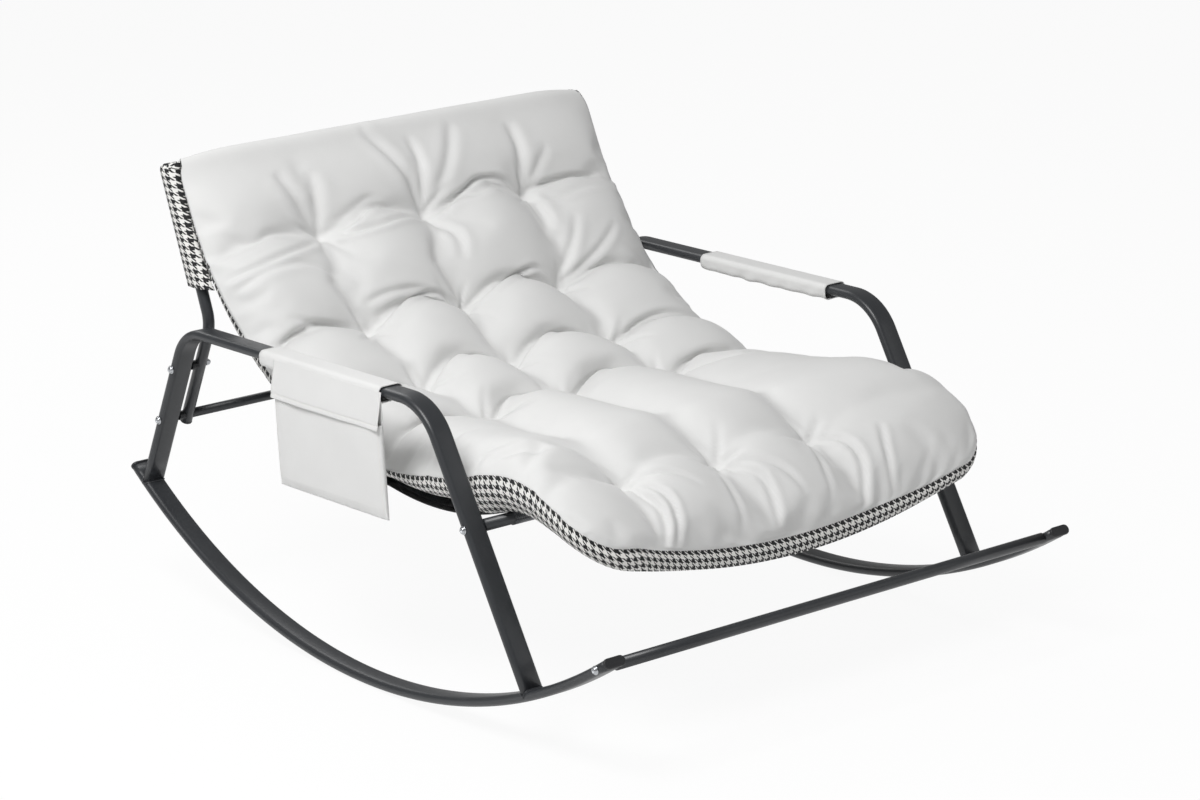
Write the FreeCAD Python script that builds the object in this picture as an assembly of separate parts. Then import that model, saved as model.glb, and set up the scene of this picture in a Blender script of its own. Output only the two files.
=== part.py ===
import FreeCAD, Part
import math
import os

# Rocking chaise lounge: two bent side frames on curved rockers, a reclined
# back frame, a mesh hammock and a deep tufted cushion with its back hood.
# Millimetres. +Z is up from the floor, the chair faces -Y, and X = 0 is the
# middle plane. "Forward" distances run towards -Y from the lowest point of
# the rockers.

# Side frames
FRAME_SPACING = 1200.0
TUBE_WIDTH = 50.0
TUBE_THICKNESS = 20.0
TUBE_WALL = 1.5
ROCKER_RADIUS = 1346.0
ROCKER_FRONT_ANGLE = 34.9
ROCKER_REAR_ANGLE = 35.9
FRONT_LEG_FOOT = 605.4
FRONT_LEG_LEAN = 31.5
REAR_LEG_FOOT = -852.4
REAR_LEG_LEAN = 23.25
ARM_HEIGHT = 626.0
ARM_RISE = 1.65
FRONT_BEND_RADIUS = 120.0
REAR_BEND_RADIUS = 95.0

# Flats that stand in for the round stretches of bent tubes, which keeps long bends light
END_FLAT_COUNT = 6
END_BORE_FLAT_COUNT = 2
ROUND_FLAT_COUNT = 12
ROUND_BORE_FLAT_COUNT = 8
FASTENER_FLAT_COUNT = 8

# Plastic caps in the rocker ends
CAP_THICKNESS = 6.0
CAP_PROUD = 0.8
CAP_PLUG_DEPTH = 18.0
CAP_PLUG_GAP = 0.4
CAP_CHAMFER = 2.0
RIM_SHARE = 0.9

# Back frame of round tube
BACK_TUBE_DIAMETER = 25.0
BACK_TUBE_WALL = 1.5
SPACER_LENGTH = 12.0
SPACER_DIAMETER = 18.0
UPRIGHT_TAIL = 15.5
RECLINE_HEIGHT = 612.0
RECLINE_ANGLE = 21.5
RECLINE_RADIUS = 70.0
TOP_BAR_HEIGHT = 918.0
TOP_CORNER_RADIUS = 60.0
END_PLUG_HEAD = 3.0

# Cross members
STABILIZER_DIAMETER = 24.0
STABILIZER_ANGLE = 33.7
REAR_BAR_DIAMETER = 20.0
SEAT_BAR_DIAMETER = 25.0
BAR_WALL = 1.5
LOWER_BOLT_HEIGHT = 394.7
UPPER_BOLT_HEIGHT = 517.5
SEAT_BAR_HEIGHT = 411.8
PLUG_LENGTH = 28.0

# Fasteners
BOLT_DIAMETER = 8.0
HOLE_CLEARANCE = 0.3
FLANGE_DIAMETER = 18.0
FLANGE_THICKNESS = 1.6
HEAD_DIAMETER = 15.0
HEAD_TOP_DIAMETER = 9.0
HEAD_HEIGHT = 6.6
NUT_ACROSS_FLATS = 13.0
NUT_HEIGHT = 8.0
NUT_DOME_HEIGHT = 4.0
BOLT_GRIP_SHARE = 0.8

# Mesh hammock
SLING_WIDTH = 1010.0
SLING_THICKNESS = 1.5
SLING_BACK_CORNER = (-487.0, 436.0)
SLING_BACK_RADIUS = 750.0
SLING_SEAT_CORNER = (157.0, 358.0)
SLING_SEAT_RADIUS = 710.0
SLEEVE_SLACK = 0.6
BINDING_WIDTH = 20.0
BINDING_THICKNESS = 1.2

# Cushion
CUSHION_CLEARANCE = 0.6
CUSHION_WIDTH_TOP = 1110.0
CUSHION_WIDTH_SEAT = 1080.0
CUSHION_WIDTH_FRONT = 1096.0
OVERHANG_CREST = (420.0, 450.0)
OVERHANG_CREST_RADIUS = 200.0
OVERHANG_SHOULDER = (575.0, 415.0)
OVERHANG_SHOULDER_RADIUS = 240.0
OVERHANG_LIP = (638.0, 362.0)
LIP_SAG = 60.0
TUFT_SPACING = 266.0
TUFT_ROWS = (221.0, 468.0, 679.0, 895.0, 1352.0)
TUFT_HEIGHTS = (50.0, 52.0, 78.0, 98.0, 48.0)
PILLOW_HEIGHTS = (64.0, 98.0, 118.0, 138.0, 146.0, 96.0)
OUTER_PILLOW_SHARE = 0.86
ROW_CREASE_RISE = 26.0
CHANNEL_SHARE = 0.6
TOP_END_HEIGHT = 20.0
LIP_END_HEIGHT = 34.0
SEAM_HEIGHT_TOP = 12.0
SEAM_HEIGHT_SEAT = 46.0
SEAM_HEIGHT_FRONT = 30.0
SIDE_DRAW_IN = 26.0
SIDE_BOW_INSET = 0.3
SIDE_BOW_LEVEL = 0.4
SEAM_SHARE = 0.8
LEAST_BOW = 0.01
TOP_CORNER_ROUNDING = 78.0
FRONT_CORNER_ROUNDING = 120.0
PIECES_PER_PILLOW = (3, 3, 4, 4, 5, 5)

# Hood that slips over the back frame
HOOD_WALL = 2.0
HOOD_HEM_HEIGHT = 688.0
HOOD_GAP = 0.5
HOOD_WIDTH = 1130.0
HOOD_CORNER_RADIUS = 74.0
HOOD_BACK_SLACK = 4.0

# Arm sleeves and the side pocket
SLEEVE_REAR = -305.0
SLEEVE_FRONT = 95.0
SLEEVE_CLOTH = 2.4
SLEEVE_WIDTH = 58.0
SLEEVE_DEPTH = 33.0
SLEEVE_TOP_GAP = 0.4
SLEEVE_CHAMFER = 6.0
POCKET_REAR = -247.0
POCKET_FRONT = 110.0
POCKET_BOTTOM_DROP = 256.0
POCKET_MOUTH_DROP = 70.0
POCKET_CLOTH = 1.8
POCKET_MOUTH_DEPTH = 17.0
POCKET_FOOT_DEPTH = 9.0
POCKET_TOP_DROP = 16.0

SIDES = (("left", -1.0), ("right", 1.0))


def vec(x, forward, height):
    """A point from its side position, its distance forward and its height."""
    return FreeCAD.Vector(x, -forward, height)


def slope(angle):
    """Unit direction in the side plane, angle above the forward direction."""
    turn = math.radians(angle)
    return vec(0.0, math.cos(turn), math.sin(turn))


def export(shape, name):
    """Write one sub-part."""
    shape.exportStep("parts/" + name + ".step")


def leg_point(foot, lean, height):
    """Point on a leg's centreline in the middle plane. Lean is towards the front."""
    return vec(0.0, foot + height * math.tan(math.radians(lean)), height)


def arm_point(forward):
    """Point on the armrest's centreline in the middle plane."""
    return vec(0.0, forward, ARM_HEIGHT + forward * math.tan(math.radians(ARM_RISE)))


def arm_meets_leg(foot, lean):
    """Where the armrest's centreline crosses a leg's."""
    rise = math.tan(math.radians(ARM_RISE))
    run = math.tan(math.radians(lean))
    forward = (foot + run * ARM_HEIGHT) / (1.0 - run * rise)
    return arm_point(forward)


def rocker_centre():
    """Centre of the rocker's arc in the middle plane."""
    return vec(0.0, 0.0, ROCKER_RADIUS + TUBE_THICKNESS / 2.0)


def rocker_point(angle):
    """Point on the rocker's centreline, angle in degrees forward of the lowest point."""
    turn = math.radians(angle)
    drop = vec(0.0, ROCKER_RADIUS * math.sin(turn), -ROCKER_RADIUS * math.cos(turn))
    return rocker_centre() + drop


def rounded_path(points, radii):
    """Wire of straight runs joined by tangent arcs at the inner points."""
    edges = []
    start = points[0]
    for index, radius in enumerate(radii, 1):
        corner = points[index]
        first, last, centre = bend_frame(points[index - 1], corner, points[index + 1], radius)[:3]
        middle = centre + (corner - centre).normalize() * radius
        edges.append(Part.LineSegment(start, first).toShape())
        edges.append(Part.Arc(first, middle, last).toShape())
        start = last
    edges.append(Part.LineSegment(start, points[-1]).toShape())
    return Part.Wire(edges)


def oval_wire(centre, across, width, thickness, flats=END_FLAT_COUNT):
    """Flat-oval outline: width along X, thickness along the unit vector across."""
    radius = thickness / 2.0
    corners = []
    for side in (1.0, -1.0):
        for step in range(flats + 1):
            turn = math.radians(90.0 - 180.0 * step / flats)
            x = side * (width / 2.0 - radius + radius * math.cos(turn))
            corners.append(centre + FreeCAD.Vector(x, 0.0, 0.0) + across * (side * radius * math.sin(turn)))
    return Part.makePolygon(corners + [corners[0]])


def round_wire(centre, along, diameter, flats=ROUND_FLAT_COUNT):
    """Round outline across the unit vector along, drawn with flats that touch its circle."""
    aside = FreeCAD.Vector(1.0, 0.0, 0.0)
    if abs(along.x) > abs(along.z):
        aside = FreeCAD.Vector(0.0, 0.0, 1.0)
    up = along.cross(aside)
    half_turn = math.pi / flats
    radius = diameter / 2.0 / math.cos(half_turn)
    corners = []
    for step in range(flats + 1):
        turn = (2.0 * step + 1.0) * half_turn
        corners.append(centre + (aside * math.cos(turn) + up * math.sin(turn)) * radius)
    return Part.makePolygon(corners)


def bend_frame(before, corner, after, radius):
    """Tangent arc at a corner: its ends, its centre, its axis and its turn in degrees."""
    back = (before - corner).normalize()
    ahead = (after - corner).normalize()
    half = back.getAngle(ahead) / 2.0
    reach = radius / math.tan(half)
    centre = corner + (back + ahead).normalize() * (radius / math.sin(half))
    axis = ahead.cross(back).normalize()
    turn = 180.0 - math.degrees(2.0 * half)
    return corner + back * reach, corner + ahead * reach, centre, axis, turn


def bent_solid(outline, points, radii):
    """Solid of a flat outline, drawn at the first point, along straight runs and tangent bends."""
    section = Part.Face(outline)
    pieces = []
    start = points[0]
    for index, radius in enumerate(radii, 1):
        before, corner, after = points[index - 1:index + 2]
        first, last, centre, axis, turn = bend_frame(before, corner, after, radius)
        run = first - start
        pieces.append(section.extrude(run))
        section.translate(run)
        pieces.append(section.revolve(centre, axis, turn))
        section.rotate(centre, axis, turn)
        start = last
    pieces.append(section.extrude(points[-1] - start))
    return pieces[0].multiFuse(pieces[1:])


def rod(start, direction, radius, length):
    """Round bar."""
    return Part.makeCylinder(radius, length, start, direction)


def light_rod(start, direction, diameter, length):
    """Round bar drawn with flats, for small fasteners and their holes."""
    return Part.Face(round_wire(start, direction, diameter, FASTENER_FLAT_COUNT)).extrude(direction * length)


def tube(start, direction, diameter, wall, length):
    """Round tube."""
    outer = rod(start, direction, diameter / 2.0, length)
    return outer.cut(rod(start, direction, diameter / 2.0 - wall, length))


def side_frame_body(width, thickness, flats=END_FLAT_COUNT):
    """Solid bar bent as the side tube: front leg, armrest, rear leg."""
    foot = leg_point(FRONT_LEG_FOOT, -FRONT_LEG_LEAN, 0.0)
    points = [
        foot,
        arm_meets_leg(FRONT_LEG_FOOT, -FRONT_LEG_LEAN),
        arm_meets_leg(REAR_LEG_FOOT, REAR_LEG_LEAN),
        leg_point(REAR_LEG_FOOT, REAR_LEG_LEAN, 0.0),
    ]
    outline = oval_wire(foot, slope(FRONT_LEG_LEAN), width, thickness, flats)
    return bent_solid(outline, points, [FRONT_BEND_RADIUS, REAR_BEND_RADIUS])


def rocker_body(width, thickness, flats=END_FLAT_COUNT):
    """Solid flat-oval bar bent to the rocker's arc."""
    start_angle, end_angle = rocker_angles()
    face = Part.Face(oval_wire(rocker_point(0.0), vec(0.0, 0.0, 1.0), width, thickness, flats))
    face.rotate(rocker_centre(), FreeCAD.Vector(1.0, 0.0, 0.0), -start_angle)
    return face.revolve(rocker_centre(), FreeCAD.Vector(1.0, 0.0, 0.0), start_angle - end_angle)


def rocker_angles():
    """Ends of the rocker's arc, rear first."""
    return -ROCKER_REAR_ANGLE, ROCKER_FRONT_ANGLE


def upright_bolt_point(height):
    """Bolt position on the rear leg's centreline."""
    return leg_point(REAR_LEG_FOOT, REAR_LEG_LEAN, height)


def seat_bar_point():
    """Seat front bar's axis, on the front leg's centreline."""
    return leg_point(FRONT_LEG_FOOT, -FRONT_LEG_LEAN, SEAT_BAR_HEIGHT)


def stabilizer_point():
    """Front stabilizer's axis, on the rocker's centreline."""
    return rocker_point(STABILIZER_ANGLE)


def hole_cutter(point, length):
    """Clearance hole for a bolt, along X through a point of the middle plane."""
    along = FreeCAD.Vector(1.0, 0.0, 0.0)
    return light_rod(point - along * (length / 2.0), along, BOLT_DIAMETER + 2.0 * HOLE_CLEARANCE, length)


def bore_size(gap=0.0):
    """Width and thickness inside the flat-oval tubes, less a gap all round."""
    shrink = 2.0 * (TUBE_WALL + gap)
    return TUBE_WIDTH - shrink, TUBE_THICKNESS - shrink


def make_side_tube():
    """Bent tube of one side, coped over the rocker and drilled for its bolts."""
    body = side_frame_body(TUBE_WIDTH, TUBE_THICKNESS)
    body = body.cut(side_frame_body(*bore_size(), END_BORE_FLAT_COUNT))
    left = rocker_centre() - FreeCAD.Vector(TUBE_WIDTH, 0.0, 0.0)
    drum = rod(left, FreeCAD.Vector(1.0, 0.0, 0.0), ROCKER_RADIUS, 2.0 * TUBE_WIDTH)
    body = body.common(drum)
    body = body.cut(rocker_body(TUBE_WIDTH, TUBE_THICKNESS))
    holes = [seat_bar_point()]
    holes.extend(upright_bolt_point(height) for height in (LOWER_BOLT_HEIGHT, UPPER_BOLT_HEIGHT))
    for point in holes:
        body = body.cut(hole_cutter(point, 2.0 * TUBE_WIDTH))
    return max(body.Solids, key=lambda solid: solid.Volume)


def make_rocker():
    """Curved flat-oval tube of one side."""
    body = rocker_body(TUBE_WIDTH, TUBE_THICKNESS).cut(rocker_body(*bore_size(), END_BORE_FLAT_COUNT))
    return body.cut(hole_cutter(stabilizer_point(), 2.0 * TUBE_WIDTH))


def make_rocker_cap(angle, outward):
    """Oval cap with its plug in the rocker's end. Outward is the sign of the way out."""
    end = rocker_point(angle)
    across = (rocker_centre() - end).normalize()
    out = slope(angle) * outward
    head_wire = oval_wire(end, across, TUBE_WIDTH + 2.0 * CAP_PROUD, TUBE_THICKNESS + 2.0 * CAP_PROUD)
    head = Part.Face(head_wire).extrude(out * CAP_THICKNESS)
    rim = [edge for edge in head.Edges if (edge.BoundBox.Center - end).dot(out) > CAP_THICKNESS * RIM_SHARE]
    head = head.makeChamfer(CAP_CHAMFER, rim)
    plug_wire = oval_wire(end, across, *bore_size(CAP_PLUG_GAP), END_BORE_FLAT_COUNT)
    plug = Part.Face(plug_wire).extrude(out * -CAP_PLUG_DEPTH)
    return head.fuse(plug)


def upright_x():
    """Distance of an upright's axis from the middle plane."""
    return FRAME_SPACING / 2.0 - TUBE_WIDTH / 2.0 - SPACER_LENGTH - BACK_TUBE_DIAMETER / 2.0


def recline_point():
    """Where the upright's straight runs cross, in the middle plane."""
    return upright_bolt_point(RECLINE_HEIGHT)


def top_bar_point():
    """Axis of the back frame's top bar in the middle plane."""
    rise = TOP_BAR_HEIGHT - RECLINE_HEIGHT
    back = rise * math.tan(math.radians(RECLINE_ANGLE))
    return recline_point() + vec(0.0, -back, rise)


def upright_end():
    """Lower end of an upright's axis, in the middle plane."""
    down = (upright_bolt_point(0.0) - upright_bolt_point(RECLINE_HEIGHT)).normalize()
    return upright_bolt_point(LOWER_BOLT_HEIGHT) + down * UPRIGHT_TAIL


def make_back_frame(diameter, flats=ROUND_FLAT_COUNT):
    """Solid bar along the back frame: two bent uprights and the top bar between them."""
    aside = FreeCAD.Vector(upright_x(), 0.0, 0.0)
    points = [
        upright_end() - aside,
        recline_point() - aside,
        top_bar_point() - aside,
        top_bar_point() + aside,
        recline_point() + aside,
        upright_end() + aside,
    ]
    along = (points[1] - points[0]).normalize()
    outline = round_wire(points[0], along, diameter, flats)
    return bent_solid(outline, points, [RECLINE_RADIUS, TOP_CORNER_RADIUS, TOP_CORNER_RADIUS, RECLINE_RADIUS])


def make_back_tube():
    """Back frame as a tube with its bolt holes."""
    bore = make_back_frame(BACK_TUBE_DIAMETER - 2.0 * BACK_TUBE_WALL, ROUND_BORE_FLAT_COUNT)
    body = make_back_frame(BACK_TUBE_DIAMETER).cut(bore)
    for height in (LOWER_BOLT_HEIGHT, UPPER_BOLT_HEIGHT):
        body = body.cut(hole_cutter(upright_bolt_point(height), 2.0 * FRAME_SPACING))
    return body


def make_upright_plug(x):
    """Plug in the open lower end of an upright."""
    end = upright_end() + FreeCAD.Vector(x, 0.0, 0.0)
    up = (upright_bolt_point(RECLINE_HEIGHT) - upright_bolt_point(0.0)).normalize()
    head = Part.Face(round_wire(end, up, BACK_TUBE_DIAMETER, ROUND_FLAT_COUNT)).extrude(up * -END_PLUG_HEAD)
    bore = BACK_TUBE_DIAMETER - 2.0 * (BACK_TUBE_WALL + CAP_PLUG_GAP)
    depth = UPRIGHT_TAIL - BOLT_DIAMETER
    stem = Part.Face(round_wire(end, up, bore, ROUND_BORE_FLAT_COUNT)).extrude(up * depth)
    return head.fuse(stem)


def make_spacer(side, height, solid_back):
    """Sleeve between the rear leg and the round upright, saddled to the upright."""
    leg_face = side * (FRAME_SPACING / 2.0 - TUBE_WIDTH / 2.0)
    start = upright_bolt_point(height) + FreeCAD.Vector(leg_face, 0.0, 0.0)
    inward = FreeCAD.Vector(-side, 0.0, 0.0)
    reach = SPACER_LENGTH + BACK_TUBE_DIAMETER / 2.0
    body = light_rod(start, inward, SPACER_DIAMETER, reach)
    body = body.cut(light_rod(start, inward, BOLT_DIAMETER + 2.0 * HOLE_CLEARANCE, reach))
    return body.cut(solid_back)


def make_bar(point, diameter, half_length):
    """Cross tube centred on the middle plane, with a threaded plug welded in each end."""
    along = FreeCAD.Vector(1.0, 0.0, 0.0)
    start = point - along * half_length
    body = tube(start, along, diameter, BAR_WALL, 2.0 * half_length)
    plug_radius = diameter / 2.0 - BAR_WALL
    far_plug = start + along * (2.0 * half_length - PLUG_LENGTH)
    for place in (start, far_plug):
        body = body.fuse(rod(place, along, plug_radius, PLUG_LENGTH))
    return body.removeSplitter().cut(light_rod(start, along, BOLT_DIAMETER, 2.0 * half_length))


def make_solid_bar(point, diameter, half_length):
    """Solid cross bar centred on the middle plane, with a threaded hole in each end."""
    along = FreeCAD.Vector(1.0, 0.0, 0.0)
    body = rod(point - along * half_length, along, diameter / 2.0, 2.0 * half_length)
    for side in (-1.0, 1.0):
        end = point + along * (side * half_length)
        body = body.cut(light_rod(end, along * -side, BOLT_DIAMETER, PLUG_LENGTH))
    return body


def frame_inner_half():
    """Half the clear distance between the side frames."""
    return FRAME_SPACING / 2.0 - TUBE_WIDTH / 2.0


def make_bolt(point, side, length):
    """Flanged round-head bolt from outboard, its flange on the side frame's outer face."""
    seat = point + FreeCAD.Vector(side * (FRAME_SPACING / 2.0 + TUBE_WIDTH / 2.0), 0.0, 0.0)
    outward = FreeCAD.Vector(side, 0.0, 0.0)
    shank = light_rod(seat, outward * -1.0, BOLT_DIAMETER, length)
    flange = light_rod(seat, outward, FLANGE_DIAMETER, FLANGE_THICKNESS)
    crown = light_cone(seat, outward, HEAD_DIAMETER, HEAD_TOP_DIAMETER, HEAD_HEIGHT)
    return crown.fuse(flange).fuse(shank)


def light_cone(start, direction, wide, narrow, height):
    """Cone frustum drawn with flats."""
    wide_end = round_wire(start, direction, wide, FASTENER_FLAT_COUNT)
    narrow_end = round_wire(start + direction * height, direction, narrow, FASTENER_FLAT_COUNT)
    return Part.makeLoft([wide_end, narrow_end], True, True)


def hexagon(start, direction, across_flats, length):
    """Hexagonal bar along X."""
    radius = across_flats / math.sqrt(3.0)
    corners = []
    for step in range(7):
        turn = math.radians(60.0 * step)
        corners.append(start + FreeCAD.Vector(0.0, radius * math.cos(turn), radius * math.sin(turn)))
    return Part.Face(Part.makePolygon(corners)).extrude(direction * length)


def make_cap_nut(point, side):
    """Domed nut on the inner face of an upright."""
    face = side * (upright_x() - BACK_TUBE_DIAMETER / 2.0)
    start = point + FreeCAD.Vector(face, 0.0, 0.0)
    inward = FreeCAD.Vector(-side, 0.0, 0.0)
    body = hexagon(start, inward, NUT_ACROSS_FLATS, NUT_HEIGHT)
    dome = light_cone(start + inward * NUT_HEIGHT, inward, NUT_ACROSS_FLATS, BOLT_DIAMETER, NUT_DOME_HEIGHT)
    return body.fuse(dome).cut(light_rod(start, inward, BOLT_DIAMETER, NUT_HEIGHT))


def tangent_point(corner, centre, radius, side):
    """Where a line from a corner touches a circle of the side plane. Side 1 is its upper or front side."""
    towards = centre - corner
    reach = math.sqrt(towards.Length ** 2 - radius ** 2)
    swing = math.degrees(math.asin(radius / towards.Length)) * side
    direction = FreeCAD.Rotation(FreeCAD.Vector(1.0, 0.0, 0.0), swing).multVec(towards).normalize()
    return corner + direction * reach


def hem_radius(diameter):
    """Radius of the hammock's middle layer round a bar."""
    return diameter / 2.0 + SLEEVE_SLACK + SLING_THICKNESS / 2.0


def sling_points():
    """Corners of the hammock's hanging line, from the top bar to the seat's front bar."""
    back_corner = vec(0.0, *SLING_BACK_CORNER)
    seat_corner = vec(0.0, *SLING_SEAT_CORNER)
    top = tangent_point(back_corner, top_bar_point(), hem_radius(BACK_TUBE_DIAMETER), 1.0)
    front = tangent_point(seat_corner, seat_bar_point(), hem_radius(SEAT_BAR_DIAMETER), -1.0)
    return [top, back_corner, seat_corner, front]


def sling_radii():
    """Bends at the hammock's two inner corners."""
    return [SLING_BACK_RADIUS, SLING_SEAT_RADIUS]


def cushion_path():
    """Line under the cushion: the hammock's line, then over the front bar to the lip."""
    corners = [vec(0.0, *OVERHANG_CREST), vec(0.0, *OVERHANG_SHOULDER), vec(0.0, *OVERHANG_LIP)]
    radii = sling_radii() + [OVERHANG_CREST_RADIUS, OVERHANG_SHOULDER_RADIUS]
    return rounded_path(sling_points()[:-1] + corners, radii)


def path_frame(path, distance):
    """Point on a side-plane path and its upward normal, at a distance along it."""
    for edge in path.Edges:
        if distance <= edge.Length or edge.isSame(path.Edges[-1]):
            break
        distance -= edge.Length
    parameter = edge.getParameterByLength(min(distance, edge.Length))
    tangent = edge.tangentAt(parameter)
    normal = tangent.cross(FreeCAD.Vector(1.0, 0.0, 0.0))
    if normal.z < 0.0:
        normal = normal * -1.0
    return edge.valueAt(parameter), normal


def sling_outline(start, along):
    """Section across the hammock: thin mesh with a tape folded over each long edge."""
    up = along.cross(FreeCAD.Vector(1.0, 0.0, 0.0))
    thin = SLING_THICKNESS / 2.0
    thick = thin + BINDING_THICKNESS
    half = SLING_WIDTH / 2.0
    inner = half - BINDING_WIDTH
    upper = [(-half, thick), (-inner, thick), (-inner, thin), (inner, thin), (inner, thick), (half, thick)]
    around = upper + [(x, -level) for x, level in reversed(upper)]
    corners = [start + FreeCAD.Vector(x, 0.0, 0.0) + up * level for x, level in around]
    return Part.makePolygon(corners + [corners[0]])


def bar_sleeve(point, diameter):
    """Closed hem of the hammock round a bar."""
    inner = diameter + 2.0 * SLEEVE_SLACK
    start = point - FreeCAD.Vector(SLING_WIDTH / 2.0, 0.0, 0.0)
    along = FreeCAD.Vector(1.0, 0.0, 0.0)
    return tube(start, along, inner + 2.0 * SLING_THICKNESS, SLING_THICKNESS, SLING_WIDTH)


def make_sling():
    """Mesh hammock: one hanging sheet with taped edges and a hem round each bar."""
    points = sling_points()
    along = (points[1] - points[0]).normalize()
    sheet = bent_solid(sling_outline(points[0], along), points, sling_radii())
    body = sheet.fuse(bar_sleeve(top_bar_point(), BACK_TUBE_DIAMETER))
    body = body.fuse(bar_sleeve(seat_bar_point(), SEAT_BAR_DIAMETER))
    body = body.cut(Part.makeCompound([
        make_bar_core(top_bar_point(), BACK_TUBE_DIAMETER),
        make_bar_core(seat_bar_point(), SEAT_BAR_DIAMETER),
    ]))
    return body.removeSplitter()


def make_bar_core(point, diameter):
    """Space a bar takes inside its hem."""
    start = point - FreeCAD.Vector(SLING_WIDTH, 0.0, 0.0)
    return rod(start, FreeCAD.Vector(1.0, 0.0, 0.0), diameter / 2.0 + SLEEVE_SLACK, 2.0 * SLING_WIDTH)


def smooth_share(value, start, end):
    """Rises smoothly from 0 at start to 1 at end."""
    share = min(1.0, max(0.0, (value - start) / (end - start)))
    return share * share * (3.0 - 2.0 * share)


def cushion_lengths():
    """Length over the hammock and whole length, along the underside."""
    return rounded_path(sling_points(), sling_radii()).Length, cushion_path().Length


def cushion_lift():
    """Height of the cushion's underside over the hammock's middle layer."""
    return SLING_THICKNESS / 2.0 + BINDING_THICKNESS + CUSHION_CLEARANCE


def cushion_frame(path, distance):
    """Point on the cushion's underside and its outward normal."""
    point, normal = path_frame(path, distance)
    return point + normal * cushion_lift(), normal


def cushion_half_width(distance):
    """Half width: full at the hood, drawn in at the arms, fuller in front, rounded at both ends."""
    seat, total = cushion_lengths()
    waist = smooth_share(distance, TUFT_ROWS[0], TUFT_ROWS[2])
    front = smooth_share(distance, TUFT_ROWS[3], seat)
    half = CUSHION_WIDTH_TOP + (CUSHION_WIDTH_SEAT - CUSHION_WIDTH_TOP) * waist
    half = (half + (CUSHION_WIDTH_FRONT - CUSHION_WIDTH_SEAT) * front) / 2.0
    half -= corner_inset(distance, TOP_CORNER_ROUNDING)
    half -= corner_inset(total - distance, FRONT_CORNER_ROUNDING)
    return half


def corner_inset(distance, radius):
    """How far a rounded corner stands in from the side, near its end."""
    if distance >= radius:
        return 0.0
    reach = radius - distance
    return radius - math.sqrt(max(0.0, radius * radius - reach * reach))


def cushion_marks():
    """Ends of the pillows along the underside, with the height of the crease at each."""
    total = cushion_lengths()[1]
    places = (0.0,) + TUFT_ROWS + (total,)
    heights = (TOP_END_HEIGHT,) + TUFT_HEIGHTS + (LIP_END_HEIGHT,)
    return list(zip(places, heights))


def cushion_heights(distance):
    """Height of the channels' bottoms and of the pillows' crowns at a distance."""
    marks = cushion_marks()
    last = len(PILLOW_HEIGHTS) - 1
    for index, pillow in enumerate(PILLOW_HEIGHTS):
        start, low = marks[index]
        end, high = marks[index + 1]
        if distance <= end or index == last:
            break
    share = min(1.0, max(0.0, (distance - start) / (end - start)))
    base = low + (high - low) * share
    bulge = math.sqrt(math.sin(math.pi * share)) if 0.0 < share < 1.0 else 0.0
    crease = base + ROW_CREASE_RISE
    crown = crease + (pillow - crease) * bulge
    channel = base + (pillow - base) * bulge * CHANNEL_SHARE
    return channel, crown


def seam_height(distance):
    """Height of the side seam above the underside."""
    total = cushion_lengths()[1]
    rise = smooth_share(distance, 0.0, TUFT_ROWS[2])
    fall = smooth_share(distance, TUFT_ROWS[3], total)
    height = SEAM_HEIGHT_TOP + (SEAM_HEIGHT_SEAT - SEAM_HEIGHT_TOP) * rise
    return height + (SEAM_HEIGHT_FRONT - SEAM_HEIGHT_SEAT) * fall


def cushion_section(path, distance):
    """Closed outline across the cushion: underside, curled sides, four crowned pillows."""
    origin, normal = cushion_frame(path, distance)
    seat, total = cushion_lengths()
    half = cushion_half_width(distance)
    channel, crown = cushion_heights(distance)
    seam = min(seam_height(distance), channel * SEAM_SHARE)
    lip_share = smooth_share(distance, seat, total)
    rise = (normal * (1.0 - lip_share) + FreeCAD.Vector(0.0, 0.0, lip_share)).normalize()
    foot = half - SIDE_DRAW_IN

    def at(x, height):
        droop = LIP_SAG * lip_share * (1.0 - (x / half) ** 2)
        return origin + FreeCAD.Vector(x, 0.0, -droop) + rise * height

    columns = [-half, -TUFT_SPACING, 0.0, TUFT_SPACING, half]
    levels = [seam, channel, channel, channel, seam]
    crowns = [crown * OUTER_PILLOW_SHARE, crown, crown, crown * OUTER_PILLOW_SHARE]
    bow = half - SIDE_DRAW_IN * SIDE_BOW_INSET
    bow_height = seam * SIDE_BOW_LEVEL
    edges = [Part.Arc(at(-foot, 0.0), at(-bow, bow_height), at(-half, seam)).toShape()]
    for index, top in enumerate(crowns):
        middle = (columns[index] + columns[index + 1]) / 2.0
        first = at(columns[index], levels[index])
        last = at(columns[index + 1], levels[index + 1])
        edges.append(Part.Arc(first, at(middle, top), last).toShape())
    edges.append(Part.Arc(at(half, seam), at(bow, bow_height), at(foot, 0.0)).toShape())
    edges.append(underside_edge(at(foot, 0.0), at(0.0, 0.0), at(-foot, 0.0)))
    return Part.Wire(edges)


def underside_edge(right, middle, left):
    """Straight underside on the hammock, bowed where the lip sags."""
    if (middle - (right + left) * 0.5).Length < LEAST_BOW:
        return Part.LineSegment(right, left).toShape()
    return Part.Arc(right, middle, left).toShape()


def cushion_stations():
    """Distances of the sections: evenly spaced inside each pillow."""
    marks = cushion_marks()
    stations = []
    for index in range(len(marks) - 1):
        start = marks[index][0]
        end = marks[index + 1][0]
        count = PIECES_PER_PILLOW[index]
        for step in range(count):
            stations.append(start + (end - start) * step / count)
    stations.append(marks[-1][0])
    return stations


def make_cushion():
    """Tufted cushion lofted through its sections."""
    path = cushion_path()
    sections = [cushion_section(path, distance) for distance in cushion_stations()]
    return Part.makeLoft(sections, True, True)


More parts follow.
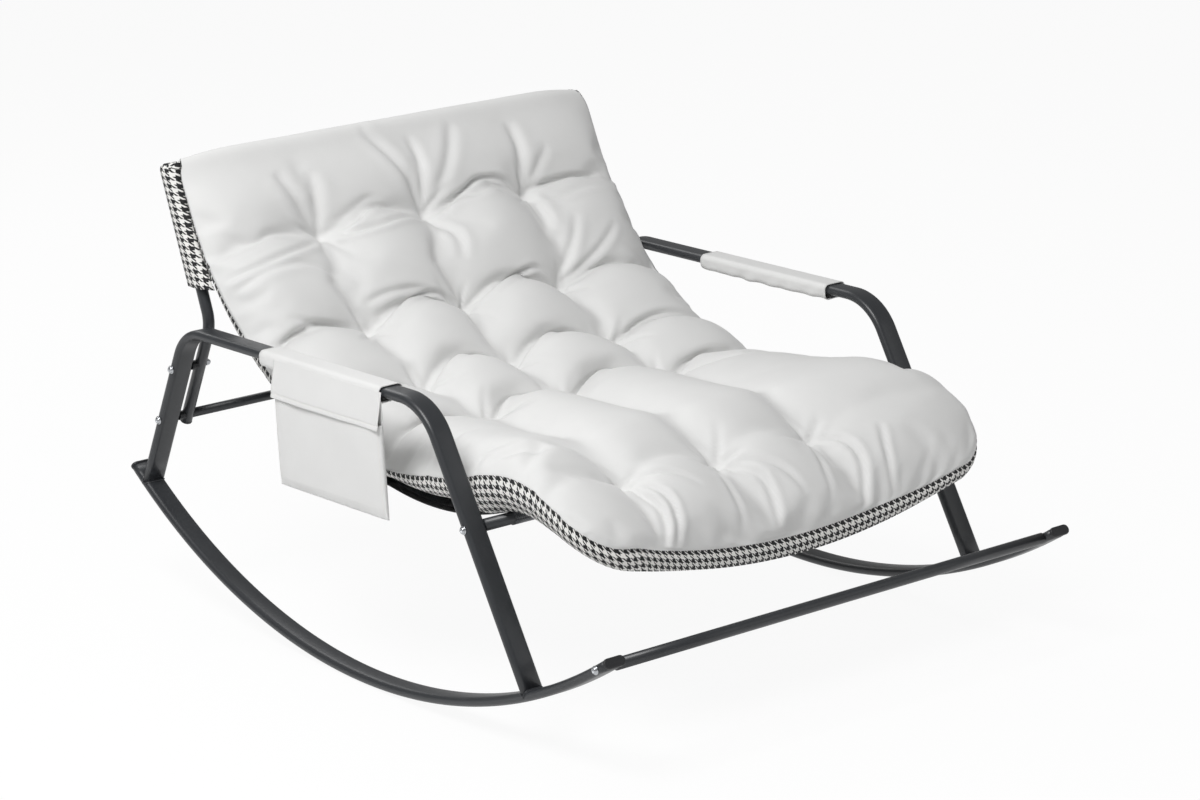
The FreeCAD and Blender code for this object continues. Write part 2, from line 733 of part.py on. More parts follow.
def hood_front(path):
    """Front edge of the hood's sides, just under the cushion, from the top down to the hem."""
    points = []
    for distance in cushion_stations():
        point, normal = path_frame(path, distance)
        point = point + normal * (cushion_lift() - HOOD_GAP)
        if point.z <= HOOD_HEM_HEIGHT:
            share = (points[-1].z - HOOD_HEM_HEIGHT) / (points[-1].z - point.z)
            points.append(points[-1] + (point - points[-1]) * share)
            return points
        points.append(point)
    return points


def hood_bar_radius():
    """Clear radius under the hood round the top bar and the hammock's hem."""
    return hem_radius(BACK_TUBE_DIAMETER) + SLING_THICKNESS / 2.0 + HOOD_GAP


def hood_rear(grow):
    """Roof and back of the hood in the side plane: front of the roof, its rear, foot of the back."""
    up = slope(90.0 + RECLINE_ANGLE)
    behind = slope(180.0 + RECLINE_ANGLE) * (BACK_TUBE_DIAMETER / 2.0 + HOOD_BACK_SLACK + grow)
    roof = top_bar_point() + up * (hood_bar_radius() + grow)
    drop = (roof + behind).z - HOOD_HEM_HEIGHT
    foot = roof + behind - up * (drop / up.z)
    return [roof, roof + behind, foot]


def make_hood():
    """Cover over the top of the back frame, open below and towards the cushion."""
    outer_half = HOOD_WIDTH / 2.0
    outer = prism(hood_front(cushion_path()) + hood_rear(HOOD_WALL)[::-1], outer_half)
    roof, corner, foot = hood_rear(0.0)
    ahead = slope(RECLINE_ANGLE) * (TOP_BAR_HEIGHT - HOOD_HEM_HEIGHT)
    below = (foot - corner).normalize() * BACK_TUBE_DIAMETER
    inner = prism([corner, foot + below, foot + below + ahead, roof + ahead], outer_half - HOOD_WALL)
    outer = outer.common(hood_plan(0.0))
    inner = inner.common(hood_plan(HOOD_WALL))
    return outer.cut(inner)


def prism(points, half_width):
    """Closed side-plane outline carried across the chair."""
    face = Part.Face(Part.makePolygon(points + [points[0]]))
    face.translate(FreeCAD.Vector(-half_width, 0.0, 0.0))
    return face.extrude(FreeCAD.Vector(2.0 * half_width, 0.0, 0.0))


def hood_plan(inset):
    """Block with the hood's front-view outline, its upper corners rounded."""
    half = HOOD_WIDTH / 2.0 - inset
    up = slope(90.0 + RECLINE_ANGLE)
    top = top_bar_point() + up * (hood_bar_radius() + HOOD_WALL - inset)
    depth = 2.0 * (TOP_BAR_HEIGHT - HOOD_HEM_HEIGHT)
    low = top - up * depth
    out = FreeCAD.Vector(half, 0.0, 0.0)
    radius = HOOD_CORNER_RADIUS - inset
    path = rounded_path([low - out, top - out, top + out, low + out], [radius, radius])
    edges = list(path.Edges)
    edges.append(Part.LineSegment(low + out, low - out).toShape())
    face = Part.Face(Part.Wire(edges))
    across = slope(180.0 + RECLINE_ANGLE)
    face.translate(across * depth)
    return face.extrude(across * (-2.0 * depth))


def arm_box(x_low, x_high, low, high, rear, front):
    """Block aligned with the armrest; low and high are measured from its centreline."""
    along = slope(ARM_RISE)
    up = slope(ARM_RISE + 90.0)
    start = arm_point(rear)
    length = (front - rear) / math.cos(math.radians(ARM_RISE))
    corners = []
    for x, level in ((x_low, low), (x_high, low), (x_high, high), (x_low, high)):
        corners.append(start + up * level + FreeCAD.Vector(x, 0.0, 0.0))
    face = Part.Face(Part.makePolygon(corners + [corners[0]]))
    body = face.extrude(along * length)
    return body, along


def chamfered_arm_box(inset, chamfer):
    """The sleeve's block, drawn in all round, with its long edges broken."""
    half = SLEEVE_WIDTH / 2.0 - inset
    top = TUBE_THICKNESS / 2.0 + SLEEVE_TOP_GAP + SLEEVE_CLOTH - inset
    low = top - SLEEVE_DEPTH + 2.0 * inset
    body, along = arm_box(-half, half, low, top, SLEEVE_REAR, SLEEVE_FRONT)
    longest = [edge for edge in body.Edges if abs(edge.tangentAt(edge.FirstParameter).dot(along)) > 0.99]
    return body.makeChamfer(chamfer, longest)


def make_arm_sleeve():
    """Cloth sleeve wrapped round the armrest."""
    inner_chamfer = SLEEVE_CHAMFER - SLEEVE_CLOTH * (2.0 - math.sqrt(2.0))
    return chamfered_arm_box(0.0, SLEEVE_CHAMFER).cut(chamfered_arm_box(SLEEVE_CLOTH, inner_chamfer))


def rectangle(x_low, x_high, rear, front, height):
    """Level rectangular wire."""
    corners = [
        vec(x_low, rear, height),
        vec(x_high, rear, height),
        vec(x_high, front, height),
        vec(x_low, front, height),
    ]
    return Part.makePolygon(corners + [corners[0]])


def make_side_pocket():
    """Pouch hung from the left sleeve, its mouth open upwards."""
    wall = POCKET_CLOTH
    bottom = ARM_HEIGHT - POCKET_BOTTOM_DROP
    mouth = ARM_HEIGHT - POCKET_MOUTH_DROP
    inner_x = -(FRAME_SPACING / 2.0 + SLEEVE_WIDTH / 2.0)
    foot_x = inner_x - POCKET_FOOT_DEPTH
    mouth_x = inner_x - POCKET_MOUTH_DEPTH
    outer = Part.makeLoft([
        rectangle(foot_x, inner_x, POCKET_REAR, POCKET_FRONT, bottom),
        rectangle(mouth_x, inner_x, POCKET_REAR, POCKET_FRONT, mouth),
    ], True, True)
    rear = POCKET_REAR + wall
    front = POCKET_FRONT - wall
    inner = Part.makeLoft([
        rectangle(foot_x + wall, inner_x - wall, rear, front, bottom + wall),
        rectangle(mouth_x + wall, inner_x - wall, rear, front, mouth + wall),
    ], True, True)
    back = Part.makeLoft([
        rectangle(inner_x - wall, inner_x, POCKET_REAR, POCKET_FRONT, mouth),
        rectangle(inner_x - wall, inner_x, POCKET_REAR, POCKET_FRONT, ARM_HEIGHT - POCKET_TOP_DROP),
    ], True, True)
    return outer.cut(inner).fuse(back).removeSplitter()


def moved(shape, x):
    """Copy of a shape, shifted across the chair."""
    copy = shape.copy()
    copy.translate(FreeCAD.Vector(x, 0.0, 0.0))
    return copy


def export_side_frames():
    """Tubes, rockers and caps of both sides."""
    side_tube = make_side_tube()
    rocker = make_rocker()
    rear_angle, front_angle = rocker_angles()
    front_cap = make_rocker_cap(front_angle, 1.0)
    rear_cap = make_rocker_cap(rear_angle, -1.0)
    for name, side in SIDES:
        x = side * FRAME_SPACING / 2.0
        export(moved(side_tube, x), name + "_arm_and_leg_tube")
        export(moved(rocker, x), name + "_rocker")
        export(moved(front_cap, x), name + "_rocker_front_cap")
        export(moved(rear_cap, x), name + "_rocker_rear_cap")


def export_back_frame():
    """Back tube with its plugs and spacers."""
    export(make_back_tube(), "back_frame")
    solid_back = make_back_frame(BACK_TUBE_DIAMETER)
    for name, side in SIDES:
        export(make_upright_plug(side * upright_x()), name + "_upright_plug")
    spacers = []
    for height in (LOWER_BOLT_HEIGHT, UPPER_BOLT_HEIGHT):
        spacers.extend(make_spacer(side, height, solid_back) for label, side in SIDES)
    export(Part.makeCompound(spacers), "back_frame_spacers")


def export_cross_members():
    """Solid stabilizer and seat front bar, which balance the chair, and the rear crossbar."""
    half = frame_inner_half()
    export(make_solid_bar(stabilizer_point(), STABILIZER_DIAMETER, half), "front_stabilizer_bar")
    export(make_solid_bar(seat_bar_point(), SEAT_BAR_DIAMETER, half), "seat_front_bar")
    rear_bar = make_bar(upright_bolt_point(LOWER_BOLT_HEIGHT), REAR_BAR_DIAMETER, upright_x())
    rear_bar = rear_bar.cut(make_back_frame(BACK_TUBE_DIAMETER))
    export(max(rear_bar.Solids, key=lambda solid: solid.Volume), "rear_crossbar")


def export_fasteners():
    """Bolts and cap nuts in groups."""
    bar_bolt = TUBE_WIDTH + PLUG_LENGTH * BOLT_GRIP_SHARE
    back_bar_bolt = bar_bolt + SPACER_LENGTH + BACK_TUBE_DIAMETER
    nut_bolt = TUBE_WIDTH + SPACER_LENGTH + BACK_TUBE_DIAMETER + NUT_HEIGHT * BOLT_GRIP_SHARE
    groups = (
        ("stabilizer_bolts", stabilizer_point(), bar_bolt),
        ("seat_bar_bolts", seat_bar_point(), bar_bolt),
        ("lower_back_bolts", upright_bolt_point(LOWER_BOLT_HEIGHT), back_bar_bolt),
        ("upper_back_bolts", upright_bolt_point(UPPER_BOLT_HEIGHT), nut_bolt),
    )
    for name, point, length in groups:
        bolts = [make_bolt(point, side, length) for label, side in SIDES]
        export(Part.makeCompound(bolts), name)
    nuts = [make_cap_nut(upright_bolt_point(UPPER_BOLT_HEIGHT), side) for label, side in SIDES]
    export(Part.makeCompound(nuts), "back_cap_nuts")


def export_soft_parts():
    """Hammock, cushion, hood, sleeves and pocket."""
    export(make_sling(), "mesh_sling")
    export(make_cushion(), "tufted_cushion")
    export(make_hood(), "cushion_hood")
    sleeve = make_arm_sleeve()
    for name, side in SIDES:
        export(moved(sleeve, side * FRAME_SPACING / 2.0), name + "_arm_sleeve")
    export(make_side_pocket(), "side_pocket")


def main():
    """Build every sub-part."""
    os.makedirs("parts", exist_ok=True)
    export_side_frames()
    export_back_frame()
    export_cross_members()
    export_fasteners()
    export_soft_parts()


main()
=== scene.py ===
"""Rocking chaise lounge: bent tube frame, mesh hammock, tufted cushion, hood, arm sleeves and pouch.

Lengths are millimetres in the chair's own terms (x across, forward, height) until a mesh is
made, when they become the frame's metres: X across, -Y forward, Z up.
"""
import logging
import math
from dataclasses import dataclass, field
from enum import Enum
from typing import Any, Callable, Iterable, Sequence

import bmesh
import bpy
import numpy as np
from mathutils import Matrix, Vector


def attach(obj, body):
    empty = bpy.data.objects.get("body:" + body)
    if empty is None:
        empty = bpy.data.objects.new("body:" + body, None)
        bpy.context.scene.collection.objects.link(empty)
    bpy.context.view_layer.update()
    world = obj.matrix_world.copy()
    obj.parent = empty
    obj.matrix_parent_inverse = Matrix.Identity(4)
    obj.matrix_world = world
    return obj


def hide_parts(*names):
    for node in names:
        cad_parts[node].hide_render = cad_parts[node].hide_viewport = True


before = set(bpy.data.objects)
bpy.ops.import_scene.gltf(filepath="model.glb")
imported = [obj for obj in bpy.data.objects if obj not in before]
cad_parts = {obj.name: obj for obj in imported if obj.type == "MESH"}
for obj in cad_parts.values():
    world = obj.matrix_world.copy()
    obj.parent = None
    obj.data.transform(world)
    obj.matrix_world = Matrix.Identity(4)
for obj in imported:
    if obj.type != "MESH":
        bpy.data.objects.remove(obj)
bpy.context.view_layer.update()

log = logging.getLogger("chaise")

MM = 0.001
Pair = tuple[float, float]
Array = np.ndarray
Form = tuple[Array, list[list[int]]]  # Points and faces.
Shading = tuple[bpy.types.Material, bpy.types.NodeTree, bpy.types.Node, bpy.types.NodeSocket]


class Side(Enum):
    """The two sides of the chair and their sign along X."""

    LEFT = -1.0
    RIGHT = 1.0

    @property
    def label(self) -> str:
        """Name used in node and piece names."""
        return self.name.lower()


# Colour and node helpers.


def linear(hex_colour: str, alpha: float = 1.0) -> tuple[float, float, float, float]:
    """Turn an sRGB hex colour into linear RGBA.

    Args:
        hex_colour: Colour such as "#E6E4E1".
        alpha: Opacity.

    Returns:
        Linear red, green, blue and alpha.
    """
    digits = hex_colour.lstrip("#")
    values = [int(digits[place:place + 2], 16) / 255.0 for place in (0, 2, 4)]
    red, green, blue = (v / 12.92 if v <= 0.04045 else ((v + 0.055) / 1.055) ** 2.4 for v in values)
    return red, green, blue, alpha


def add_node(tree: bpy.types.NodeTree, kind: str, settings: dict[Any, Any] | None = None,
             links: dict[Any, bpy.types.NodeSocket] | None = None) -> bpy.types.Node:
    """Add one node with its settings and its incoming links.

    Args:
        tree: Node tree that gets the node.
        kind: Blender's name of the node's type.
        settings: Node properties by name, and input values by socket name or index.
        links: Output sockets to join to this node's inputs, by socket name or index.

    Returns:
        The new node.
    """
    node = tree.nodes.new(kind)
    for key, value in (settings or {}).items():
        if isinstance(key, str) and hasattr(node, key):
            setattr(node, key, value)
        else:
            node.inputs[key].default_value = value
    for key, socket in (links or {}).items():
        tree.links.new(socket, node.inputs[key])
    return node


def maths(tree: bpy.types.NodeTree, operation: str, first: Any, second: Any = None) -> bpy.types.NodeSocket:
    """Add a Math node whose inputs are sockets or numbers.

    Args:
        tree: Node tree that gets the node.
        operation: Name of the operation.
        first: First input.
        second: Second input, where the operation has one.

    Returns:
        The node's output.
    """
    node = add_node(tree, "ShaderNodeMath", {"operation": operation})
    for index, value in enumerate((first, second)):
        if isinstance(value, bpy.types.NodeSocket):
            tree.links.new(value, node.inputs[index])
        elif value is not None:
            node.inputs[index].default_value = value
    return node.outputs[0]


def start_material(name: str, roughness: float, space: str, **fixed: float) -> Shading:
    """Make a material with a Principled shader.

    Args:
        name: Material name.
        roughness: Surface roughness.
        space: Coordinates that its pattern follows, "Object" or "UV".
        fixed: Other Principled inputs, with underscores for the spaces in their names.

    Returns:
        The material, its node tree, its Principled node and the coordinates.
    """
    material = bpy.data.materials.new(name)
    material.use_nodes = True
    tree = material.node_tree
    tree.nodes.clear()
    shader = add_node(tree, "ShaderNodeBsdfPrincipled", {"Roughness": roughness})
    for key, value in fixed.items():
        shader.inputs[key.replace("_", " ")].default_value = value
    add_node(tree, "ShaderNodeOutputMaterial", links={"Surface": shader.outputs["BSDF"]})
    return material, tree, shader, add_node(tree, "ShaderNodeTexCoord").outputs[space]


def tinted(tree: bpy.types.NodeTree, shader: bpy.types.Node, factor: bpy.types.NodeSocket, dark: str,
           light: str) -> None:
    """Colour a shader between two hex colours by a factor.

    Args:
        tree: Node tree that gets the node.
        shader: Principled node to colour.
        factor: Socket that runs from 0, dark, to 1, light.
        dark: Colour at 0.
        light: Colour at 1.
    """
    mix = add_node(tree, "ShaderNodeMix", {"data_type": "RGBA", 6: linear(dark), 7: linear(light)},
                   {0: factor})
    tree.links.new(mix.outputs[2], shader.inputs["Base Color"])


def noise(tree: bpy.types.NodeTree, place: bpy.types.NodeSocket, size_mm: float,
          detail: float = 2.0) -> bpy.types.NodeSocket:
    """Add soft noise.

    Args:
        tree: Node tree that gets the node.
        place: Coordinates in metres.
        size_mm: Size of its largest patches.
        detail: How many finer layers it has.

    Returns:
        Value from 0 to 1.
    """
    node = add_node(tree, "ShaderNodeTexNoise", {"Scale": 1.0 / (size_mm * MM), "Detail": detail},
                    {"Vector": place})
    return node.outputs["Fac"]


def bumped(tree: bpy.types.NodeTree, shader: bpy.types.Node, height: bpy.types.NodeSocket,
           depth_mm: float, strength: float = 1.0) -> None:
    """Give a shader a bump.

    Args:
        tree: Node tree that gets the node.
        shader: Principled node to bump.
        height: Height from 0 to 1.
        depth_mm: Depth that a height of 1 stands for.
        strength: Share of the bump that is used.
    """
    bump = add_node(tree, "ShaderNodeBump", {"Strength": strength, "Distance": depth_mm * MM},
                    {"Height": height})
    tree.links.new(bump.outputs["Normal"], shader.inputs["Normal"])


# Finishes.


@dataclass(frozen=True)
class PowderCoat:
    """Satin black powder coat, baked on steel tube: soft highlights with a faint orange peel."""

    name: str = "satin_black_powder_coat"
    colour: str = "#2D2F32"
    worn: str = "#37393C"
    roughness: float = 0.36
    cloud_mm: float = 60.0
    peel_mm: float = 2.6

    def build(self) -> bpy.types.Material:
        """Make the material."""
        material, tree, shader, place = start_material(self.name, self.roughness, "Object", IOR=1.5)
        tinted(tree, shader, noise(tree, place, self.cloud_mm, 3.0), self.colour, self.worn)
        bumped(tree, shader, noise(tree, place, self.peel_mm), 0.03, 0.5)
        return material


@dataclass(frozen=True)
class MouldedPlastic:
    """Polypropylene, injection moulded against a sparked tool: matte with a fine grain."""

    name: str = "moulded_black_polypropylene"
    colour: str = "#1D1E20"
    scuffed: str = "#26272A"
    roughness: float = 0.52
    grain_mm: float = 1.2

    def build(self) -> bpy.types.Material:
        """Make the material."""
        material, tree, shader, place = start_material(self.name, self.roughness, "Object", IOR=1.49)
        grain = noise(tree, place, self.grain_mm, 1.0)
        tinted(tree, shader, grain, self.colour, self.scuffed)
        bumped(tree, shader, grain, 0.06)
        return material


@dataclass(frozen=True)
class ZincPlate:
    """Bright zinc plate on cold-headed steel: silvery, slightly clouded."""

    name: str = "zinc_plated_steel"
    colour: str = "#C4C6C9"
    clouded: str = "#AEB1B5"
    cloud_mm: float = 4.0
    roughness: float = 0.28

    def build(self) -> bpy.types.Material:
        """Make the material."""
        material, tree, shader, place = start_material(self.name, self.roughness, "Object", Metallic=1.0)
        cloud = noise(tree, place, self.cloud_mm, 3.0)
        tinted(tree, shader, cloud, self.clouded, self.colour)
        bumped(tree, shader, cloud, 0.02, 0.4)
        return material


@dataclass(frozen=True)
class BrushedPolyester:
    """Off-white polyester cover cloth, woven fine and peached: smooth with a soft satin sheen.

    The plain weave is about 0.4 mm in life and drawn three times coarser so that it shows.
    """

    name: str = "ivory_peached_polyester"
    colour: str = "#E3E3E2"
    shade: str = "#DCDCDB"
    roughness: float = 0.62
    cloud_mm: float = 90.0
    thread_mm: float = 1.2

    def build(self) -> bpy.types.Material:
        """Make the material."""
        material, tree, shader, flat = start_material(
            self.name, self.roughness, "UV", IOR=1.5, Sheen_Weight=0.18, Sheen_Roughness=0.45,
            Specular_IOR_Level=0.32)
        tinted(tree, shader, noise(tree, flat, self.cloud_mm, 4.0), self.shade, self.colour)
        bumped(tree, shader, weave_height(tree, flat, self.thread_mm), 0.05, 0.5)
        return material


@dataclass(frozen=True)
class Houndstooth:
    """Black and white houndstooth twill: four dark and four light threads each way, repeat 16.5 mm."""

    name: str = "houndstooth_twill"
    dark: str = "#19191B"
    light: str = "#E9E8E5"
    repeat_mm: float = 16.5
    roughness: float = 0.78

    def build(self) -> bpy.types.Material:
        """Make the material."""
        material, tree, shader, flat = start_material(self.name, self.roughness, "UV", IOR=1.5,
                                                      Sheen_Weight=0.1)
        scaled = add_node(tree, "ShaderNodeVectorMath",
                          {"operation": "SCALE", "Scale": 1.0 / (self.repeat_mm * MM)}, {0: flat})
        split = add_node(tree, "ShaderNodeSeparateXYZ", links={0: scaled.outputs[0]})
        across, along = split.outputs[0], split.outputs[1]
        warp = maths(tree, "LESS_THAN", maths(tree, "FRACT", across), 0.5)
        weft = maths(tree, "LESS_THAN", maths(tree, "FRACT", along), 0.5)
        steps = maths(tree, "MULTIPLY", maths(tree, "ADD", across, along), 2.0)
        over = maths(tree, "LESS_THAN", maths(tree, "FRACT", steps), 0.5)
        chosen = maths(tree, "ADD", maths(tree, "MULTIPLY", over, warp),
                       maths(tree, "MULTIPLY", maths(tree, "SUBTRACT", 1.0, over), weft))
        tinted(tree, shader, chosen, self.light, self.dark)
        bumped(tree, shader, weave_height(tree, flat, self.repeat_mm / 8.0), 0.15, 0.6)
        return material


@dataclass(frozen=True)
class SlingMesh:
    """PVC-coated polyester mesh: glossy dark threads in a fine basket weave, with its small gaps painted
    near-black as shade.
    """

    name: str = "pvc_coated_mesh"
    thread: str = "#4A4D51"
    gap_shade: str = "#0B0C0D"
    pitch_mm: float = 3.0
    roughness: float = 0.38

    def build(self) -> bpy.types.Material:
        """Make the material."""
        material, tree, shader, flat = start_material(self.name, self.roughness, "UV", IOR=1.53)
        weave = weave_height(tree, flat, self.pitch_mm)
        sharp = maths(tree, "MINIMUM", maths(tree, "MULTIPLY", weave, 1.7), 1.0)
        # Painted shade: the weave's low cells take the near-black gap colour, for the shade in the mesh's
        # gaps.
        tinted(tree, shader, sharp, self.gap_shade, self.thread)
        bumped(tree, shader, weave, 0.4)
        return material


@dataclass(frozen=True)
class Webbing:
    """Black polypropylene binding tape: matte, ribbed across its length, with painted shade in the valleys
    between its ribs.
    """

    name: str = "black_binding_tape"
    valley: str = "#0C0D0E"
    rib: str = "#242629"
    rib_mm: float = 2.2
    roughness: float = 0.66

    def build(self) -> bpy.types.Material:
        """Make the material."""
        material, tree, shader, flat = start_material(self.name, self.roughness, "UV", IOR=1.49)
        weave = weave_height(tree, flat, self.rib_mm)
        # Painted shade: the weave's low points take the darker valley colour.
        tinted(tree, shader, weave, self.valley, self.rib)
        bumped(tree, shader, weave, 0.25)
        return material


@dataclass(frozen=True)
class SewingThread:
    """Bonded nylon sewing thread, ivory, slightly glossy and twisted."""

    name: str = "ivory_sewing_thread"
    colour: str = "#EFEEEA"
    shade: str = "#DCDAD4"
    twist_mm: float = 0.6
    roughness: float = 0.42

    def build(self) -> bpy.types.Material:
        """Make the material."""
        material, tree, shader, place = start_material(self.name, self.roughness, "Object", IOR=1.53)
        tinted(tree, shader, noise(tree, place, self.twist_mm), self.shade, self.colour)
        return material


def weave_height(tree: bpy.types.NodeTree, flat: bpy.types.NodeSocket,
                 pitch_mm: float) -> bpy.types.NodeSocket:
    """Height of a plain weave from flat coordinates in metres.

    Args:
        tree: Node tree that gets the nodes.
        flat: Flat coordinates of the cloth.
        pitch_mm: Distance between threads.

    Returns:
        Height from 0 to 1.
    """
    turns = math.tau / (2.0 * pitch_mm * MM)
    split = add_node(tree, "ShaderNodeSeparateXYZ", links={0: flat})
    waves = []
    for index in (0, 1):
        waves.append(maths(tree, "SINE", maths(tree, "MULTIPLY", split.outputs[index], turns)))
    product = maths(tree, "MULTIPLY", waves[0], waves[1])
    return maths(tree, "ADD", maths(tree, "MULTIPLY", product, 0.5), 0.5)


@dataclass
class Finishes:
    """The chair's materials, each made once."""

    coat: bpy.types.Material = field(default_factory=PowderCoat().build)
    plastic: bpy.types.Material = field(default_factory=MouldedPlastic().build)
    zinc: bpy.types.Material = field(default_factory=ZincPlate().build)
    ivory: bpy.types.Material = field(default_factory=BrushedPolyester().build)
    check: bpy.types.Material = field(default_factory=Houndstooth().build)
    mesh: bpy.types.Material = field(default_factory=SlingMesh().build)
    tape: bpy.types.Material = field(default_factory=Webbing().build)
    thread: bpy.types.Material = field(default_factory=SewingThread().build)


# Mesh helpers.


def to_frame(points: Array) -> Array:
    """Turn chair points (x, forward, height) in millimetres into the frame's metres."""
    return np.stack([points[..., 0], -points[..., 1], points[..., 2]], axis=-1) * MM


def make_piece(name: str, points: Array, faces: Sequence[Sequence[int]],
               materials: Sequence[bpy.types.Material],
               slots: Sequence[int] | None = None, flat: Array | None = None, smooth: bool = True,
               outward: bool = True) -> bpy.types.Object:
    """Make a mesh object from chair points.

    Args:
        name: Name of the piece.
        points: Points (n, 3) in millimetres.
        faces: Point indices of each face.
        materials: The piece's materials.
        slots: Material index of each face.
        flat: Flat cloth coordinates (n, 2) in millimetres, kept as UVs in metres.
        smooth: Whether faces are shaded smooth.
        outward: Whether normals are made to point out of a closed form.

    Returns:
        The new object, in the scene and riding on the chair.
    """
    mesh = bpy.data.meshes.new(name)
    mesh.from_pydata(to_frame(np.asarray(points, dtype=float)).tolist(), [], [list(face) for face in faces])
    for material in materials:
        mesh.materials.append(material)
    if slots is not None:
        mesh.polygons.foreach_set("material_index", np.asarray(slots, dtype=np.int32))
    mesh.polygons.foreach_set("use_smooth", [smooth] * len(mesh.polygons))
    if flat is not None:
        layer = mesh.uv_layers.new(name="flat")
        corners = np.empty(len(mesh.loops), dtype=np.int32)
        mesh.loops.foreach_get("vertex_index", corners)
        layer.data.foreach_set("uv", (np.asarray(flat)[corners] * MM).ravel())
    if outward:
        work = bmesh.new()
        work.from_mesh(mesh)
        bmesh.ops.recalc_face_normals(work, faces=work.faces)
        work.to_mesh(mesh)
        work.free()
    piece = bpy.data.objects.new(name, mesh)
    bpy.context.scene.collection.objects.link(piece)
    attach(piece, "root")
    return piece


def grid_faces(rows: int, columns: int, start: int = 0, closed: bool = False,
               looped: bool = False) -> list[list[int]]:
    """Quads of a grid of points numbered row by row.

    Args:
        rows: Number of rows.
        columns: Number of points in a row.
        start: Index of the first point.
        closed: Whether each row closes on itself.
        looped: Whether the last row joins the first.

    Returns:
        The quads.
    """
    faces = []
    for row in range(rows if looped else rows - 1):
        first, after = start + row * columns, start + (row + 1) % rows * columns
        for column in range(columns if closed else columns - 1):
            ahead = (column + 1) % columns
            faces.append([first + column, first + ahead, after + ahead, after + column])
    return faces


def tube_faces(rings: int, count: int) -> list[list[int]]:
    """Faces of a tube of rings with the same count of points, closed at both ends."""
    last = (rings - 1) * count
    ends = [list(range(count))[::-1], list(range(last, last + count))]
    return grid_faces(rings, count, closed=True) + ends


def thicken(piece: bpy.types.Object, thickness: float, offset: float = 0.0) -> None:
    """Give a cloth its thickness and apply it.

    Args:
        piece: Sheet to thicken.
        thickness: Thickness in millimetres.
        offset: Side that it grows to, from -1 to 1.
    """
    modifier = piece.modifiers.new("thickness", "SOLIDIFY")
    modifier.thickness = thickness * MM
    modifier.offset = offset
    apply_modifiers(piece)


def apply_modifiers(piece: bpy.types.Object) -> None:
    """Replace a piece's mesh by what its modifiers make of it."""
    graph = bpy.context.evaluated_depsgraph_get()
    made = bpy.data.meshes.new_from_object(piece.evaluated_get(graph))
    piece.modifiers.clear()
    piece.data = made


def dress(piece: bpy.types.Object, slot: str, *nodes: str) -> bpy.types.Object:
    """Hide the CAD nodes that a piece stands for, and report the piece with them.

    Args:
        piece: The piece.
        slot: Not used.
        nodes: CAD nodes that the piece replaces.

    Returns:
        The piece.
    """
    if nodes:
        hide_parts(*nodes)
    log.info("%s: %d faces, stands for %s", piece.name, len(piece.data.polygons),
             ", ".join(nodes) or "no node")
    return piece


def smooth_share(value: Array | float, start: float, end: float) -> Array:
    """Rise smoothly from 0 at start to 1 at end."""
    share = np.clip((np.asarray(value, dtype=float) - start) / (end - start), 0.0, 1.0)
    return share * share * (3.0 - 2.0 * share)


# Lines.


@dataclass(frozen=True)
class Span:
    """A straight run or an arc: its start, heading, length and curvature."""

    start: Pair
    heading: float
    length: float
    bend: float

    def at(self, distance: float) -> tuple[float, float, float]:
        """Forward distance, height and heading at a distance along the span."""
        heading = self.heading + self.bend * distance
        if self.bend == 0.0:
            return (self.start[0] + distance * math.cos(heading),
                    self.start[1] + distance * math.sin(heading), heading)
        forward = self.start[0] + (math.sin(heading) - math.sin(self.heading)) / self.bend
        height = self.start[1] - (math.cos(heading) - math.cos(self.heading)) / self.bend
        return forward, height, heading


@dataclass
class SideLine:
    """Straight runs joined by tangent arcs in the chair's side plane."""

    points: Sequence[Pair]
    radii: Sequence[float] = ()
    spans: list[Span] = field(init=False)

    def __post_init__(self) -> None:
        """Work out the runs and arcs."""
        corners = [np.array(point, dtype=float) for point in self.points]
        self.spans = []
        start = corners[0]
        for index, radius in enumerate(self.radii, 1):
            before, after = corners[index] - start, corners[index + 1] - corners[index]
            heading = math.atan2(before[1], before[0])
            turn = (math.atan2(after[1], after[0]) - heading + math.pi) % math.tau - math.pi
            reach = radius * math.tan(abs(turn) / 2.0)
            run = float(np.linalg.norm(before)) - reach
            self.spans.append(Span(tuple(start), heading, run, 0.0))
            first = start + before / np.linalg.norm(before) * run
            self.spans.append(Span(tuple(first), heading, radius * abs(turn),
                                   math.copysign(1.0 / radius, turn)))
            start = corners[index] + after / np.linalg.norm(after) * reach
        last = corners[-1] - start
        self.spans.append(Span(tuple(start), math.atan2(last[1], last[0]), float(np.linalg.norm(last)), 0.0))

    @property
    def length(self) -> float:
        """Whole length."""
        return sum(span.length for span in self.spans)

    def at(self, distance: float) -> tuple[float, float, float]:
        """Forward distance, height and heading at a distance along the line.

        Args:
            distance: Distance from the start; before 0 or past the end runs on straight.

        Returns:
            Forward distance, height and heading in radians.
        """
        for span in self.spans[:-1]:
            if distance <= span.length:
                return span.at(distance)
            distance -= span.length
        return self.spans[-1].at(distance)

    def stations(self, run_step: float = 60.0, turn_step: float = 5.0) -> list[float]:
        """Distances at which a swept tube gets a ring.

        Args:
            run_step: Longest step on a straight run.
            turn_step: Largest turn between rings on an arc, in degrees.

        Returns:
            Distances along the line.
        """
        distances, start = [0.0], 0.0
        for span in self.spans:
            turn = math.degrees(abs(span.bend) * span.length)
            parts = turn / turn_step if span.bend else span.length / run_step
            count = max(1, math.ceil(parts))
            distances.extend(start + span.length * step / count for step in range(1, count + 1))
            start += span.length
        return distances


def lean_point(foot: float, lean: float, height: float) -> Pair:
    """Forward distance and height on a leg's centreline that leans by an angle from upright."""
    return foot + height * math.tan(math.radians(lean)), height


